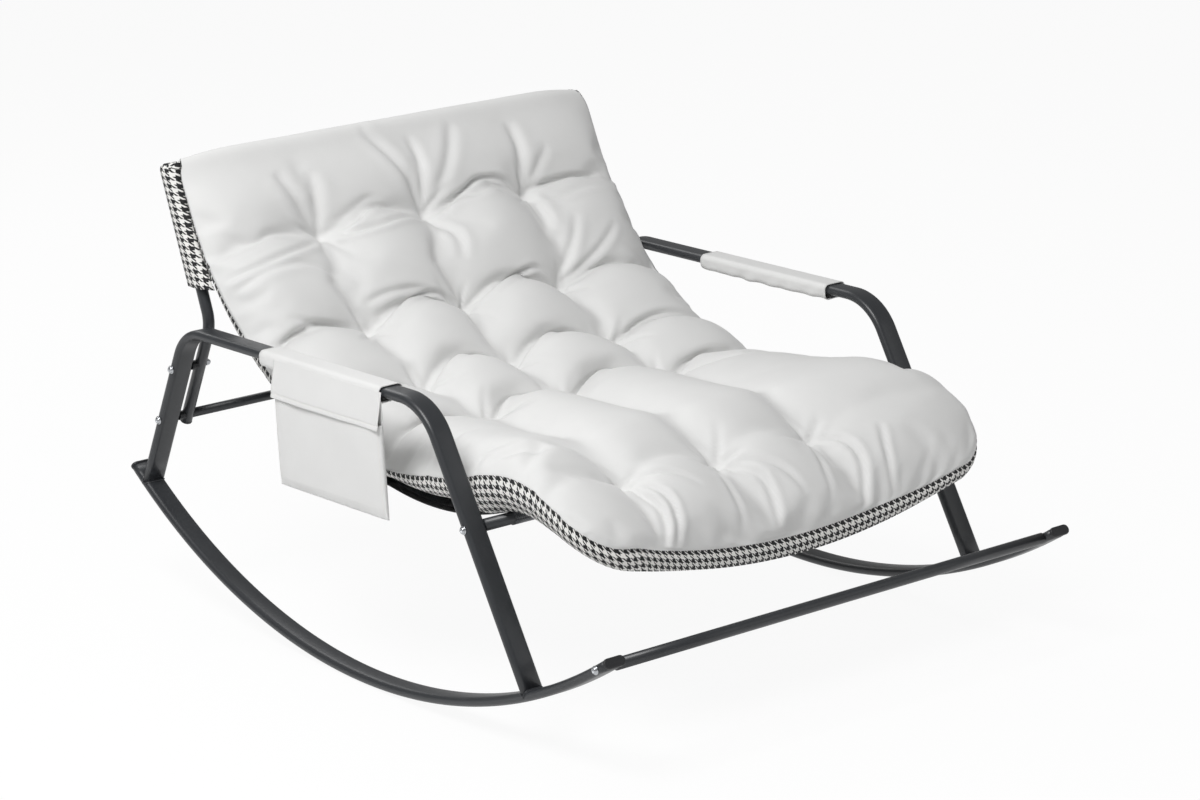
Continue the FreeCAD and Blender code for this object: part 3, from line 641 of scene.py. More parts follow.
def oval_section(width: float, thickness: float, steps: int = 8) -> Array:
    """Flat-oval tube outline: across and along the normal.

    Args:
        width: Width across the chair.
        thickness: Thickness along the line's normal.
        steps: Steps round each end.

    Returns:
        Points (n, 2).
    """
    radius = thickness / 2.0
    points = []
    for side in (1.0, -1.0):
        for step in range(steps + 1):
            turn = math.radians(90.0 - 180.0 * step / steps)
            points.append((side * (width / 2.0 - radius + radius * math.cos(turn)),
                           side * radius * math.sin(turn)))
    return np.array(points)


def sweep(line: SideLine, section: Array, distances: Sequence[float], x: float) -> Form:
    """Carry a section along a side line.

    Args:
        line: Line that the section follows.
        section: Outline, across and along the normal.
        distances: Where the rings go.
        x: Side position of the line.

    Returns:
        Points and faces, closed at both ends.
    """
    rings = []
    for distance in distances:
        forward, height, heading = line.at(distance)
        normal = (-math.sin(heading), math.cos(heading))
        rings.append([(x + a, forward + b * normal[0], height + b * normal[1]) for a, b in section])
    return np.array(rings).reshape(-1, 3), tube_faces(len(rings), len(section))


def lathe(centre: Array, axis: Array, profile: Sequence[Pair], steps: int = 24,
          six_sided: Sequence[int] = ()) -> Form:
    """Turn a profile about an axis.

    Args:
        centre: Point on the axis at height 0.
        axis: Unit direction of the axis.
        profile: Radius and height of each ring, closed at both ends.
        steps: Points in a ring.
        six_sided: Rings that are hexagons, their radius across flats.

    Returns:
        Points and faces.
    """
    aside = np.cross(axis, [0.0, 0.0, 1.0])
    aside /= np.linalg.norm(aside)
    up = np.cross(axis, aside)
    rings = []
    for index, (radius, height) in enumerate(profile):
        for step in range(steps):
            turn = math.tau * step / steps
            reach = radius
            if index in six_sided:
                reach = radius / math.cos((turn + math.pi / 6.0) % (math.pi / 3.0) - math.pi / 6.0)
            rings.append(centre + axis * height + (aside * math.cos(turn) + up * math.sin(turn)) * reach)
    return np.array(rings), tube_faces(len(profile), steps)


def joined(parts: Iterable[Form]) -> Form:
    """Put several meshes into one list of points and faces."""
    points, faces, start = [], [], 0
    for part_points, part_faces in parts:
        points.append(part_points)
        faces.extend([start + index for index in face] for face in part_faces)
        start += len(part_points)
    return np.concatenate(points), faces


def catmull(values: Array, factor: int, axis: int) -> Array:
    """Refine samples along an axis by a smooth curve through them.

    Args:
        values: Samples.
        factor: Steps that replace each old one.
        axis: Axis to refine.

    Returns:
        The refined samples, with the old ones among them.
    """
    values = np.moveaxis(values, axis, 0)
    before = np.concatenate([2.0 * values[:1] - values[1:2], values[:-2]])
    first, second = values[:-1], values[1:]
    after = np.concatenate([values[2:], 2.0 * values[-1:] - values[-2:-1]])
    pieces = []
    for step in range(factor):
        t = step / factor
        pieces.append(0.5 * (2.0 * first + (second - before) * t
                             + (2.0 * before - 5.0 * first + 4.0 * second - after) * t * t
                             + (3.0 * first - before - 3.0 * second + after) * t ** 3))
    fine = np.stack(pieces, axis=1).reshape((-1,) + values.shape[1:])
    return np.moveaxis(np.concatenate([fine, values[-1:]]), 0, axis)


def grid_normals(points: Array) -> Array:
    """Unit normals of a grid of points (rows, columns, 3)."""
    normal = np.cross(np.gradient(points, axis=1), np.gradient(points, axis=0))
    return normal / np.maximum(np.linalg.norm(normal, axis=-1, keepdims=True), 1e-9)


# The chair's driving sizes, as in the frame.


@dataclass(frozen=True)
class ChairSizes:
    """Sizes that several sub-assemblies share."""

    frame_spacing: float = 1200.0
    tube_width: float = 50.0
    tube_thickness: float = 20.0
    rocker_radius: float = 1346.0
    rocker_front_angle: float = 34.9
    rocker_rear_angle: float = 35.9
    front_foot: float = 605.4
    front_lean: float = -31.5
    rear_foot: float = -852.4
    rear_lean: float = 23.25
    arm_height: float = 626.0
    arm_rise: float = 1.65
    back_tube: float = 25.0
    spacer: float = 12.0
    recline_height: float = 612.0
    recline_angle: float = 21.5
    top_bar_height: float = 918.0
    seat_bar_height: float = 411.8
    seat_bar: float = 25.0
    lower_bolt: float = 394.7
    upper_bolt: float = 517.5
    stabilizer_angle: float = 33.7

    @property
    def half(self) -> float:
        """Half the distance between the side frames' centrelines."""
        return self.frame_spacing / 2.0

    @property
    def rocker_centre(self) -> Pair:
        """Centre of the rocker's arc."""
        return 0.0, self.rocker_radius + self.tube_thickness / 2.0

    @property
    def upright_x(self) -> float:
        """Distance of an upright's axis from the middle plane."""
        return self.half - self.tube_width / 2.0 - self.spacer - self.back_tube / 2.0

    @property
    def seat_bar_point(self) -> Pair:
        """Axis of the seat's front bar."""
        return lean_point(self.front_foot, self.front_lean, self.seat_bar_height)

    @property
    def top_bar_point(self) -> Pair:
        """Axis of the back frame's top bar."""
        forward, height = self.rear_point(self.recline_height)
        rise = self.top_bar_height - height
        return forward - rise * math.tan(math.radians(self.recline_angle)), self.top_bar_height

    def rear_point(self, height: float) -> Pair:
        """Point on the rear leg's centreline."""
        return lean_point(self.rear_foot, self.rear_lean, height)

    def rocker_point(self, angle: float, lift: float = 0.0) -> Pair:
        """Point of the rocker, degrees forward of its lowest point, lifted towards its centre."""
        turn = math.radians(angle)
        reach = self.rocker_radius - lift
        return reach * math.sin(turn), self.rocker_centre[1] - reach * math.cos(turn)

    def arm_point(self, forward: float) -> Pair:
        """Point on the armrest's centreline."""
        return forward, self.arm_height + forward * math.tan(math.radians(self.arm_rise))

    def arm_meets(self, foot: float, lean: float) -> Pair:
        """Where the armrest's centreline crosses a leg's."""
        run = math.tan(math.radians(lean))
        forward = (foot + run * self.arm_height) / (1.0 - run * math.tan(math.radians(self.arm_rise)))
        return self.arm_point(forward)

    def leg_end(self, foot: float, lean: float) -> Pair:
        """Where a leg's centreline meets the rocker's."""
        run = math.tan(math.radians(lean))
        centre = self.rocker_centre[1]
        a, b = 1.0 + run * run, foot * run - centre
        height = (-b - math.sqrt(b * b - a * (foot * foot + centre * centre - self.rocker_radius ** 2))) / a
        return lean_point(foot, lean, height)


SIZES = ChairSizes()


# Steel frame.


@dataclass
class SteelFrame:
    """Side tubes, rockers, back frame and cross bars of black powder-coated steel."""

    finishes: Finishes
    sizes: ChairSizes = SIZES
    front_bend: float = 120.0
    rear_bend: float = 95.0
    recline_bend: float = 70.0
    top_bend: float = 60.0
    stabilizer: float = 24.0
    rear_bar: float = 20.0
    upright_tail: float = 15.5
    weld_bead: float = 2.6

    def side_line(self) -> SideLine:
        """Centreline of a side tube, from the front leg's foot over the armrest to the rear one's."""
        s = self.sizes
        return SideLine(
            [s.leg_end(s.front_foot, s.front_lean), s.arm_meets(s.front_foot, s.front_lean),
             s.arm_meets(s.rear_foot, s.rear_lean), s.leg_end(s.rear_foot, s.rear_lean)],
            [self.front_bend, self.rear_bend])

    def rocker_span(self) -> Span:
        """Centreline of a rocker, rear end first."""
        s = self.sizes
        turn = math.radians(s.rocker_rear_angle + s.rocker_front_angle)
        return Span(s.rocker_point(-s.rocker_rear_angle), math.radians(-s.rocker_rear_angle),
                    s.rocker_radius * turn, 1.0 / s.rocker_radius)

    def upright_end(self) -> Pair:
        """Lower end of an upright's axis."""
        s = self.sizes
        bolt = np.array(s.rear_point(s.lower_bolt))
        down = bolt - np.array(s.rear_point(s.recline_height))
        return tuple(bolt + down / np.linalg.norm(down) * self.upright_tail)

    def back_path(self) -> Array:
        """Axis of the back frame: up one upright, along the top bar, down the other."""
        s = self.sizes
        side = [self.upright_end(), s.rear_point(s.recline_height), s.top_bar_point]
        corners = [(-s.upright_x, *point) for point in side]
        corners += [(s.upright_x, *point) for point in reversed(side)]
        return rounded_route(corners, [self.recline_bend, self.top_bend, self.top_bend, self.recline_bend])

    def weld(self, x: float, foot: float, lean: float) -> Form:
        """Bead of weld round a leg where it stands on the rocker.

        Args:
            x: Side position of the frame.
            foot: The leg's foot on the floor line.
            lean: The leg's lean.

        Returns:
            Points and faces of the bead.
        """
        s = self.sizes
        section = oval_section(s.tube_width, s.tube_thickness)
        forward, height = s.leg_end(foot, lean)
        along = np.array([math.sin(math.radians(lean)), math.cos(math.radians(lean))])
        normal = np.array([-along[1], along[0]])
        to_centre = np.array([0.0, s.rocker_centre[1]]) - np.array([forward, height])
        to_centre /= np.linalg.norm(to_centre)
        radius = s.tube_thickness / 2.0
        rings = []
        for a, b in section:
            past_flat = max(0.0, abs(a) - (s.tube_width / 2.0 - radius))
            rise = math.sqrt(max(0.0, radius * radius - past_flat * past_flat))
            base = np.array([forward, height]) + normal * b
            lift = (rise - normal.dot(to_centre) * b) / along.dot(to_centre)
            foot_point = base + along * max(lift, 0.0)
            out = np.array([a / s.tube_width * 2.0, *(normal * (b / radius))])
            out /= np.linalg.norm(out)
            up = np.array([0.0, *along])
            centre = np.array([x + a, *foot_point])
            rings.append([centre + (out * math.cos(t) + up * math.sin(t)) * self.weld_bead
                          for t in np.arange(8) * math.tau / 8.0])
        return np.array(rings).reshape(-1, 3), grid_faces(len(rings), 8, closed=True, looped=True)

    def build(self) -> None:
        """Make every steel piece."""
        def steel(name: str, mesh: Form, *nodes: str) -> None:
            """Make one coated piece."""
            dress(make_piece(name, *mesh, [self.finishes.coat]), "black_powder_coat", *nodes)

        s = self.sizes
        line, rocker = self.side_line(), self.rocker_span()
        section = oval_section(s.tube_width, s.tube_thickness)
        for side in Side:
            x = side.value * s.half
            steel(f"{side.label}_side_tube", sweep(line, section, line.stations(80.0, 4.0), x),
                  f"{side.label}_arm_and_leg_tube")
            steel(f"{side.label}_rocker_tube", sweep(rocker, section, np.linspace(0.0, rocker.length, 72), x),
                  f"{side.label}_rocker")
            beads = joined([self.weld(x, s.front_foot, s.front_lean), self.weld(x, s.rear_foot, s.rear_lean)])
            steel(f"{side.label}_weld_beads", beads)
        steel("back_frame_tube", round_tube(self.back_path(), s.back_tube), "back_frame")
        reach = s.half - s.tube_width / 2.0
        bars = (("stabilizer_rod", s.rocker_point(s.stabilizer_angle), self.stabilizer, reach,
                 "front_stabilizer_bar"),
                ("seat_front_rod", s.seat_bar_point, s.seat_bar, reach, "seat_front_bar"),
                ("rear_cross_tube", s.rear_point(s.lower_bolt), self.rear_bar, s.upright_x, "rear_crossbar"))
        for name, point, diameter, half, node in bars:
            route = np.array([(x, *point) for x in np.linspace(-half, half, 5)])
            steel(name, round_tube(route, diameter), node)


def rounded_route(corners: Sequence[Sequence[float]], radii: Sequence[float],
                  turn_step: float = 5.0) -> Array:
    """Points along straight runs in space joined by tangent arcs.

    Args:
        corners: Points of the route.
        radii: Radius of the arc at each inner point.
        turn_step: Largest turn between points, in degrees.

    Returns:
        Points (n, 3).
    """
    points = [np.array(corner, dtype=float) for corner in corners]
    route = [points[0]]
    for index, radius in enumerate(radii, 1):
        back = points[index - 1] - points[index]
        ahead = points[index + 1] - points[index]
        back, ahead = back / np.linalg.norm(back), ahead / np.linalg.norm(ahead)
        half = math.acos(float(np.clip(back.dot(ahead), -1.0, 1.0))) / 2.0
        inward = (back + ahead) / np.linalg.norm(back + ahead)
        centre = points[index] + inward * (radius / math.sin(half))
        first = points[index] + back * (radius / math.tan(half)) - centre
        turn = math.pi - 2.0 * half
        onward = -back * radius
        count = max(2, math.ceil(math.degrees(turn) / turn_step))
        for step in range(count + 1):
            angle = turn * step / count
            route.append(centre + first * math.cos(angle) + onward * math.sin(angle))
    route.append(points[-1])
    return np.array(route)


def round_tube(route: Array, diameter: float, steps: int = 32) -> Form:
    """Round tube along a route.

    Args:
        route: Points of its axis.
        diameter: Outer diameter.
        steps: Points in a ring.

    Returns:
        Points and faces, closed at both ends.
    """
    tangents = np.gradient(route, axis=0)
    tangents /= np.linalg.norm(tangents, axis=1, keepdims=True)
    aside = np.cross(tangents[0], [0.3, 0.5, 0.8])
    rings = []
    for point, tangent in zip(route, tangents):
        aside = aside - tangent * aside.dot(tangent)
        aside /= np.linalg.norm(aside)
        up = np.cross(tangent, aside)
        turns = np.arange(steps) * math.tau / steps
        spokes = np.outer(np.cos(turns), aside) + np.outer(np.sin(turns), up)
        rings.append(point + spokes * (diameter / 2.0))
    return np.concatenate(rings), tube_faces(len(route), steps)


@dataclass
class Hardware:
    """Zinc-plated bolts and nuts, and the black plastic end caps, plugs and spacers."""

    finishes: Finishes
    sizes: ChairSizes = SIZES
    flange: float = 18.0
    head: float = 14.6
    socket: float = 5.0
    nut: float = 13.0
    cap_depth: float = 6.0
    cap_proud: float = 0.8

    def bolt_head(self, point: Pair, side: Side) -> Form:
        """Flanged button head with a hexagon socket, outboard of a side frame."""
        s = self.sizes
        rim, crown, hole = self.flange / 2.0, self.head / 2.0, self.socket / 2.0
        profile = [(rim - 0.6, 0.0), (rim, 0.5), (rim, 1.2), (rim - 0.6, 1.7), (crown + 0.2, 1.9),
                   (crown, 2.6), (crown - 0.6, 4.2), (crown - 2.0, 5.8), (crown - 3.6, 6.5),
                   (hole + 0.5, 6.6), (hole, 6.3), (hole, 3.0), (0.3, 2.6)]
        centre = np.array([side.value * (s.half + s.tube_width / 2.0), *point])
        return lathe(centre, np.array([side.value, 0.0, 0.0]), profile, six_sided=(10, 11))

    def cap_nut(self, side: Side) -> Form:
        """Domed nut on the inner face of an upright."""
        s = self.sizes
        flats = self.nut / 2.0
        profile = [(flats - 0.4, 0.0), (flats, 0.5), (flats, 6.5), (flats - 0.5, 7.4), (flats - 1.0, 8.0),
                   (5.2, 9.2), (4.2, 10.8), (2.4, 11.8), (0.4, 12.0)]
        centre = np.array([side.value * (s.upright_x - s.back_tube / 2.0), *s.rear_point(s.upper_bolt)])
        return lathe(centre, np.array([-side.value, 0.0, 0.0]), profile, six_sided=(0, 1, 2, 3))

    def end_cap(self, x: float, angle: float, outward: float) -> Form:
        """Rounded oval cap on a rocker's end."""
        s = self.sizes
        forward, height = s.rocker_point(angle)
        turn = math.radians(angle)
        along = np.array([math.cos(turn), math.sin(turn)]) * outward
        across = np.array([-math.sin(turn), math.cos(turn)])
        rings = []
        depth, proud = self.cap_depth, self.cap_proud
        steps = [(-0.2, -1.0), (0.0, proud - 0.3), (0.4, proud), (depth * 0.5, proud)]
        steps += [(depth * (0.5 + 0.5 * math.sin(t)), proud - 3.2 * (1.0 - math.cos(t)))
                  for t in np.linspace(0.3, 1.5, 6)]
        for out, grow in steps:
            section = oval_section(s.tube_width + 2.0 * grow, s.tube_thickness + 2.0 * grow)
            centre = np.array([forward, height]) + along * out
            rings.append([(x + a, *(centre + across * b)) for a, b in section])
        return np.array(rings).reshape(-1, 3), tube_faces(len(rings), len(rings[0]))

    def build(self) -> None:
        """Make the hardware and dress the frame's own plastic pieces."""
        s = self.sizes
        groups = {
            "stabilizer": s.rocker_point(s.stabilizer_angle),
            "seat_bar": s.seat_bar_point,
            "lower_back": s.rear_point(s.lower_bolt),
            "upper_back": s.rear_point(s.upper_bolt),
        }
        for name, point in groups.items():
            heads = joined(self.bolt_head(point, side) for side in Side)
            dress(make_piece(f"{name}_button_heads", *heads, [self.finishes.zinc]),
                  "zinc_fasteners", f"{name}_bolts")
        nuts = joined(self.cap_nut(side) for side in Side)
        dress(make_piece("domed_nuts", *nuts, [self.finishes.zinc], smooth=False),
              "zinc_fasteners", "back_cap_nuts")
        for side in Side:
            x = side.value * s.half
            for end, angle, outward in (("front", s.rocker_front_angle, 1.0),
                                        ("rear", -s.rocker_rear_angle, -1.0)):
                cap = self.end_cap(x, angle, outward)
                dress(make_piece(f"{side.label}_{end}_end_cap", *cap, [self.finishes.plastic]),
                      "black_plastic", f"{side.label}_rocker_{end}_cap")
        for node in ("back_frame_spacers", "left_upright_plug", "right_upright_plug"):
            keep_node(node, self.finishes.plastic)


def keep_node(node: str, material: bpy.types.Material) -> None:
    """Give a frame piece that stays its finish."""
    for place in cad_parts[node].material_slots:
        place.material = material
    log.info("%s: kept with %s", node, material.name)


# Hammock.


def tangent_to(corner: Pair, centre: Pair, radius: float, side: float) -> Pair:
    """Where a line from a corner touches a circle. Side 1 is its upper or front side."""
    away = np.array(centre) - np.array(corner)
    distance = float(np.linalg.norm(away))
    swing = -math.asin(radius / distance) * side
    heading = math.atan2(away[1], away[0]) + swing
    reach = math.sqrt(distance ** 2 - radius ** 2)
    return corner[0] + reach * math.cos(heading), corner[1] + reach * math.sin(heading)


@dataclass
class Hammock:
    """Black coated mesh slung between the top bar and the seat's front bar."""

    finishes: Finishes
    sizes: ChairSizes = SIZES
    width: float = 1010.0
    thickness: float = 1.5
    slack: float = 0.6
    back_corner: Pair = (-487.0, 436.0)
    back_bend: float = 750.0
    seat_corner: Pair = (157.0, 358.0)
    seat_bend: float = 710.0
    tape_width: float = 20.0
    tape_thickness: float = 1.2
    tape_inset: float = 4.0

    def hem_radius(self, diameter: float) -> float:
        """Radius of the mesh's middle layer round a bar."""
        return diameter / 2.0 + self.slack + self.thickness / 2.0

    def points(self) -> list[Pair]:
        """Corners of its hanging line, from the top bar to the seat's front bar."""
        s = self.sizes
        top = tangent_to(self.back_corner, s.top_bar_point, self.hem_radius(s.back_tube), 1.0)
        front = tangent_to(self.seat_corner, s.seat_bar_point, self.hem_radius(s.seat_bar), -1.0)
        return [top, self.back_corner, self.seat_corner, front]

    def line(self) -> SideLine:
        """Its hanging line."""
        return SideLine(self.points(), [self.back_bend, self.seat_bend])

    def hem(self, point: Pair, diameter: float) -> tuple[Array, list[list[int]], Array]:
        """Tube of mesh round a bar: points, faces and flat coordinates."""
        radius = self.hem_radius(diameter)
        xs = np.linspace(-self.width / 2.0, self.width / 2.0, 61)
        turns = np.arange(25) * math.tau / 24.0
        points = [[(x, point[0] + radius * math.cos(t), point[1] + radius * math.sin(t))
                   for t in turns] for x in xs]
        flat = [[(x, radius * t) for t in turns] for x in xs]
        return np.array(points).reshape(-1, 3), grid_faces(61, 25), np.array(flat).reshape(-1, 2)

    def build(self) -> None:
        """Make the mesh, its taped edges and its hems."""
        line = self.line()
        distances = line.stations(20.0, 1.5)
        xs = np.linspace(-self.width / 2.0 + self.tape_inset, self.width / 2.0 - self.tape_inset, 52)
        points, flat = [], []
        for distance in distances:
            forward, height, _ = line.at(distance)
            points.extend((x, forward, height) for x in xs)
            flat.extend((x, distance) for x in xs)
        sheet = make_piece("hammock_mesh", np.array(points), grid_faces(len(distances), len(xs)),
                           [self.finishes.mesh], flat=np.array(flat), outward=False)
        thicken(sheet, self.thickness)
        line.length * MM
        dress(sheet, "black_mesh", "mesh_sling")
        profile = oval_section(self.tape_width, self.thickness + 2.0 * self.tape_thickness, 3)
        edge = self.width / 2.0 - self.tape_width / 2.0
        tape_points, faces = joined(sweep(line, profile, distances, side.value * edge) for side in Side)
        flat = np.stack([tape_points[:, 0], np.repeat(distances * 2, len(profile))], axis=1)
        dress(make_piece("hammock_edge_tapes", tape_points, faces, [self.finishes.tape], flat=flat),
              "black_mesh")
        s = self.sizes
        for name, point, diameter in (("upper", s.top_bar_point, s.back_tube),
                                      ("front", s.seat_bar_point, s.seat_bar)):
            hem_points, hem_faces, hem_flat = self.hem(point, diameter)
            hem = make_piece(f"hammock_{name}_hem", hem_points, hem_faces, [self.finishes.mesh],
                             flat=hem_flat, outward=False)
            thicken(hem, self.thickness)
            dress(hem, "black_mesh")


# Cushion.


def settle(points: Array, faces: Sequence[Sequence[int]], held: Array, pressure: float, excess: float,
           cap: float, frames: int = 20) -> Array:
    """Let a closed cloth swell under pressure and keep how far it moved within a cap.

    Args:
        points: Points (n, 3) in millimetres.
        faces: Point indices of each face.
        held: How firmly each point is held, from 0 to 1.
        pressure: Cloth pressure.
        excess: Share by which the cloth is cut larger than the form it starts from.
        cap: Most that a point may move, in millimetres.
        frames: Frames to step.

    Returns:
        The settled points in millimetres.
    """
    cloth = make_piece("cloth_in_work", points, faces, [])
    group = cloth.vertex_groups.new(name="held")
    levels = np.round(np.clip(held, 0.0, 1.0) * 20.0) / 20.0
    for level in np.unique(levels):
        if level > 0.0:
            group.add(np.nonzero(levels == level)[0].tolist(), float(level), "REPLACE")
    modifier = cloth.modifiers.new("cloth", "CLOTH")
    work = modifier.settings
    work.quality = 7
    work.mass = 0.3
    work.tension_stiffness = 15.0
    work.compression_stiffness = 15.0
    work.shear_stiffness = 5.0
    work.bending_stiffness = 0.5
    work.use_pressure = True
    work.uniform_pressure_force = pressure
    work.shrink_min = -excess
    work.effector_weights.gravity = 0.0
    work.vertex_group_mass = "held"
    modifier.collision_settings.use_collision = False
    modifier.collision_settings.use_self_collision = False
    modifier.point_cache.frame_start = 1
    modifier.point_cache.frame_end = frames
    scene = bpy.context.scene
    for number in range(1, frames + 1):
        scene.frame_set(number)
    made = bpy.data.meshes.new_from_object(cloth.evaluated_get(bpy.context.evaluated_depsgraph_get()))
    where = np.empty(len(made.vertices) * 3)
    made.vertices.foreach_get("co", where)
    where = where.reshape(-1, 3) / MM
    where[:, 1] *= -1.0
    scene.frame_set(1)
    for mesh in (made, cloth.data):
        bpy.data.meshes.remove(mesh)
    move = where - points
    far = np.linalg.norm(move, axis=1, keepdims=True)
    return points + move * np.minimum(1.0, cap / np.maximum(far, 1e-6))


# Folds that the cover shows: depth, half width and lip share, then the points (distance along, side position)
# that the fold runs through, all in millimetres.
SEWN_FOLDS: tuple[tuple[Any, ...], ...] = (
    (7, 12, 0.3, (-8, -84), (33, -55), (115, -22), (196, 0)),
    (5.5, 10, 0.3, (20, 28), (88, 27), (159, 14), (200, 6)),
    (7, 12, 0.3, (5, 154), (60, 121), (121, 77), (192, 22)),
    (7, 12, 0.3, (30, 302), (93, 298), (143, 293), (196, 288)),
    (4.5, 10, 0.3, (100, 370), (150, 328), (200, 292)),
    (6, 13, 0.3, (60, -258), (126, -262), (196, -272)),
    (8, 15, 0.3, (50, -345), (126, -312), (196, -284)),
    (8, 7, 0.6, (266, -545), (269, -500), (256, -417), (230, -315), (212, -280)),
    (6, 9, 0.6, (300, -540), (275, -446), (282, -360), (325, -290)),
    (9, 7, 0.7, (212, -262), (205, -208), (178, -153), (174, -105), (196, -62)),
    (7, 6, 0.7, (216, -262), (234, -171), (218, -90), (212, -10)),
    (10, 7, 0.8, (205, 40), (172, 110), (154, 172), (158, 227), (194, 276)),
    (6, 8, 0.5, (212, 20), (190, 90), (192, 150), (176, 200)),
    (10, 7, 0.8, (198, 300), (184, 350), (184, 410), (198, 500)),
    (5, 8, 0.5, (212, 300), (236, 350), (226, 420), (232, 495)),
    (8, 9, 0.5, (214, -2), (252, 26), (290, 40), (352, 22)),
    (9, 10, 0.5, (212, 292), (262, 298), (318, 286)),
    (10, 6, 0.9, (470, -262), (444, -200), (414, -120), (418, -70), (456, -32)),
    (7, 8, 0.6, (400, -262), (392, -200), (398, -130), (414, -80)),
    (10, 6, 0.9, (462, 0), (448, 76), (414, 145), (400, 194), (436, 236)),
    (7, 8, 0.6, (446, 256), (423, 323), (384, 394), (335, 450)),
    (6, 9, 0.5, (430, 262), (362, 322), (290, 360)),
    (8, 8, 0.6, (478, -290), (444, -330), (432, -397), (398, -466)),
    (8, 8, 0.6, (458, -500), (434, -446), (432, -390)),
    (9, 6, 0.9, (694, -262), (662, -200), (640, -140), (644, -90), (684, -52)),
    (9, 6, 0.9, (692, -28), (664, 40), (634, 110), (632, 160), (676, 220)),
    (8, 7, 0.7, (690, -286), (662, -350), (652, -430), (672, -520)),
    (8, 7, 0.7, (684, 246), (650, 320), (640, 400), (664, 500)),
    (9, 7, 0.9, (884, -226), (850, -180), (842, -120), (876, -54)),
    (9, 7, 0.9, (884, -24), (850, 40), (838, 120), (872, 224)),
    (7, 9, 0.5, (884, -256), (856, -350), (866, -470)),
    (7, 9, 0.5, (882, 256), (852, 340), (856, 470)),
    (9, 6.5, 0.4, (1430, -330), (1488, -326), (1540, -318), (1604, -358)),
    (8, 6, 0.5, (1460, -312), (1510, -288), (1560, -300), (1604, -336)),
    (6, 7, 0.4, (1436, -300), (1462, -250), (1508, -206)),
    (9, 7, 0.4, (1440, -84), (1476, -52), (1520, -34), (1596, -62)),
    (6, 6.5, 0.4, (1452, -50), (1500, 6), (1560, 30)),
    (5, 7, 0.4, (1450, -112), (1516, -142), (1590, -150)),
    (9, 7, 0.4, (1420, 166), (1460, 214), (1524, 222), (1604, 164)),
    (6, 6.5, 0.4, (1480, 300), (1540, 268), (1604, 252)),
    (5, 6.5, 0.4, (1430, 150), (1500, 112), (1580, 84)),
    (7, 10, 0.4, (1330, -425), (1366, -500), (1384, -545)),
    (5, 10, 0.4, (1120, -545), (1090, -470), (1080, -400)),
    (5, 10, 0.4, (1000, -542), (985, -480), (1000, -410)),
)


# Where the border's own loops of points lie between its upper seam, 0, and its lower one, 1.
BORDER_SHARES = (0.06, 0.2, 0.4, 0.6, 0.8, 0.94)


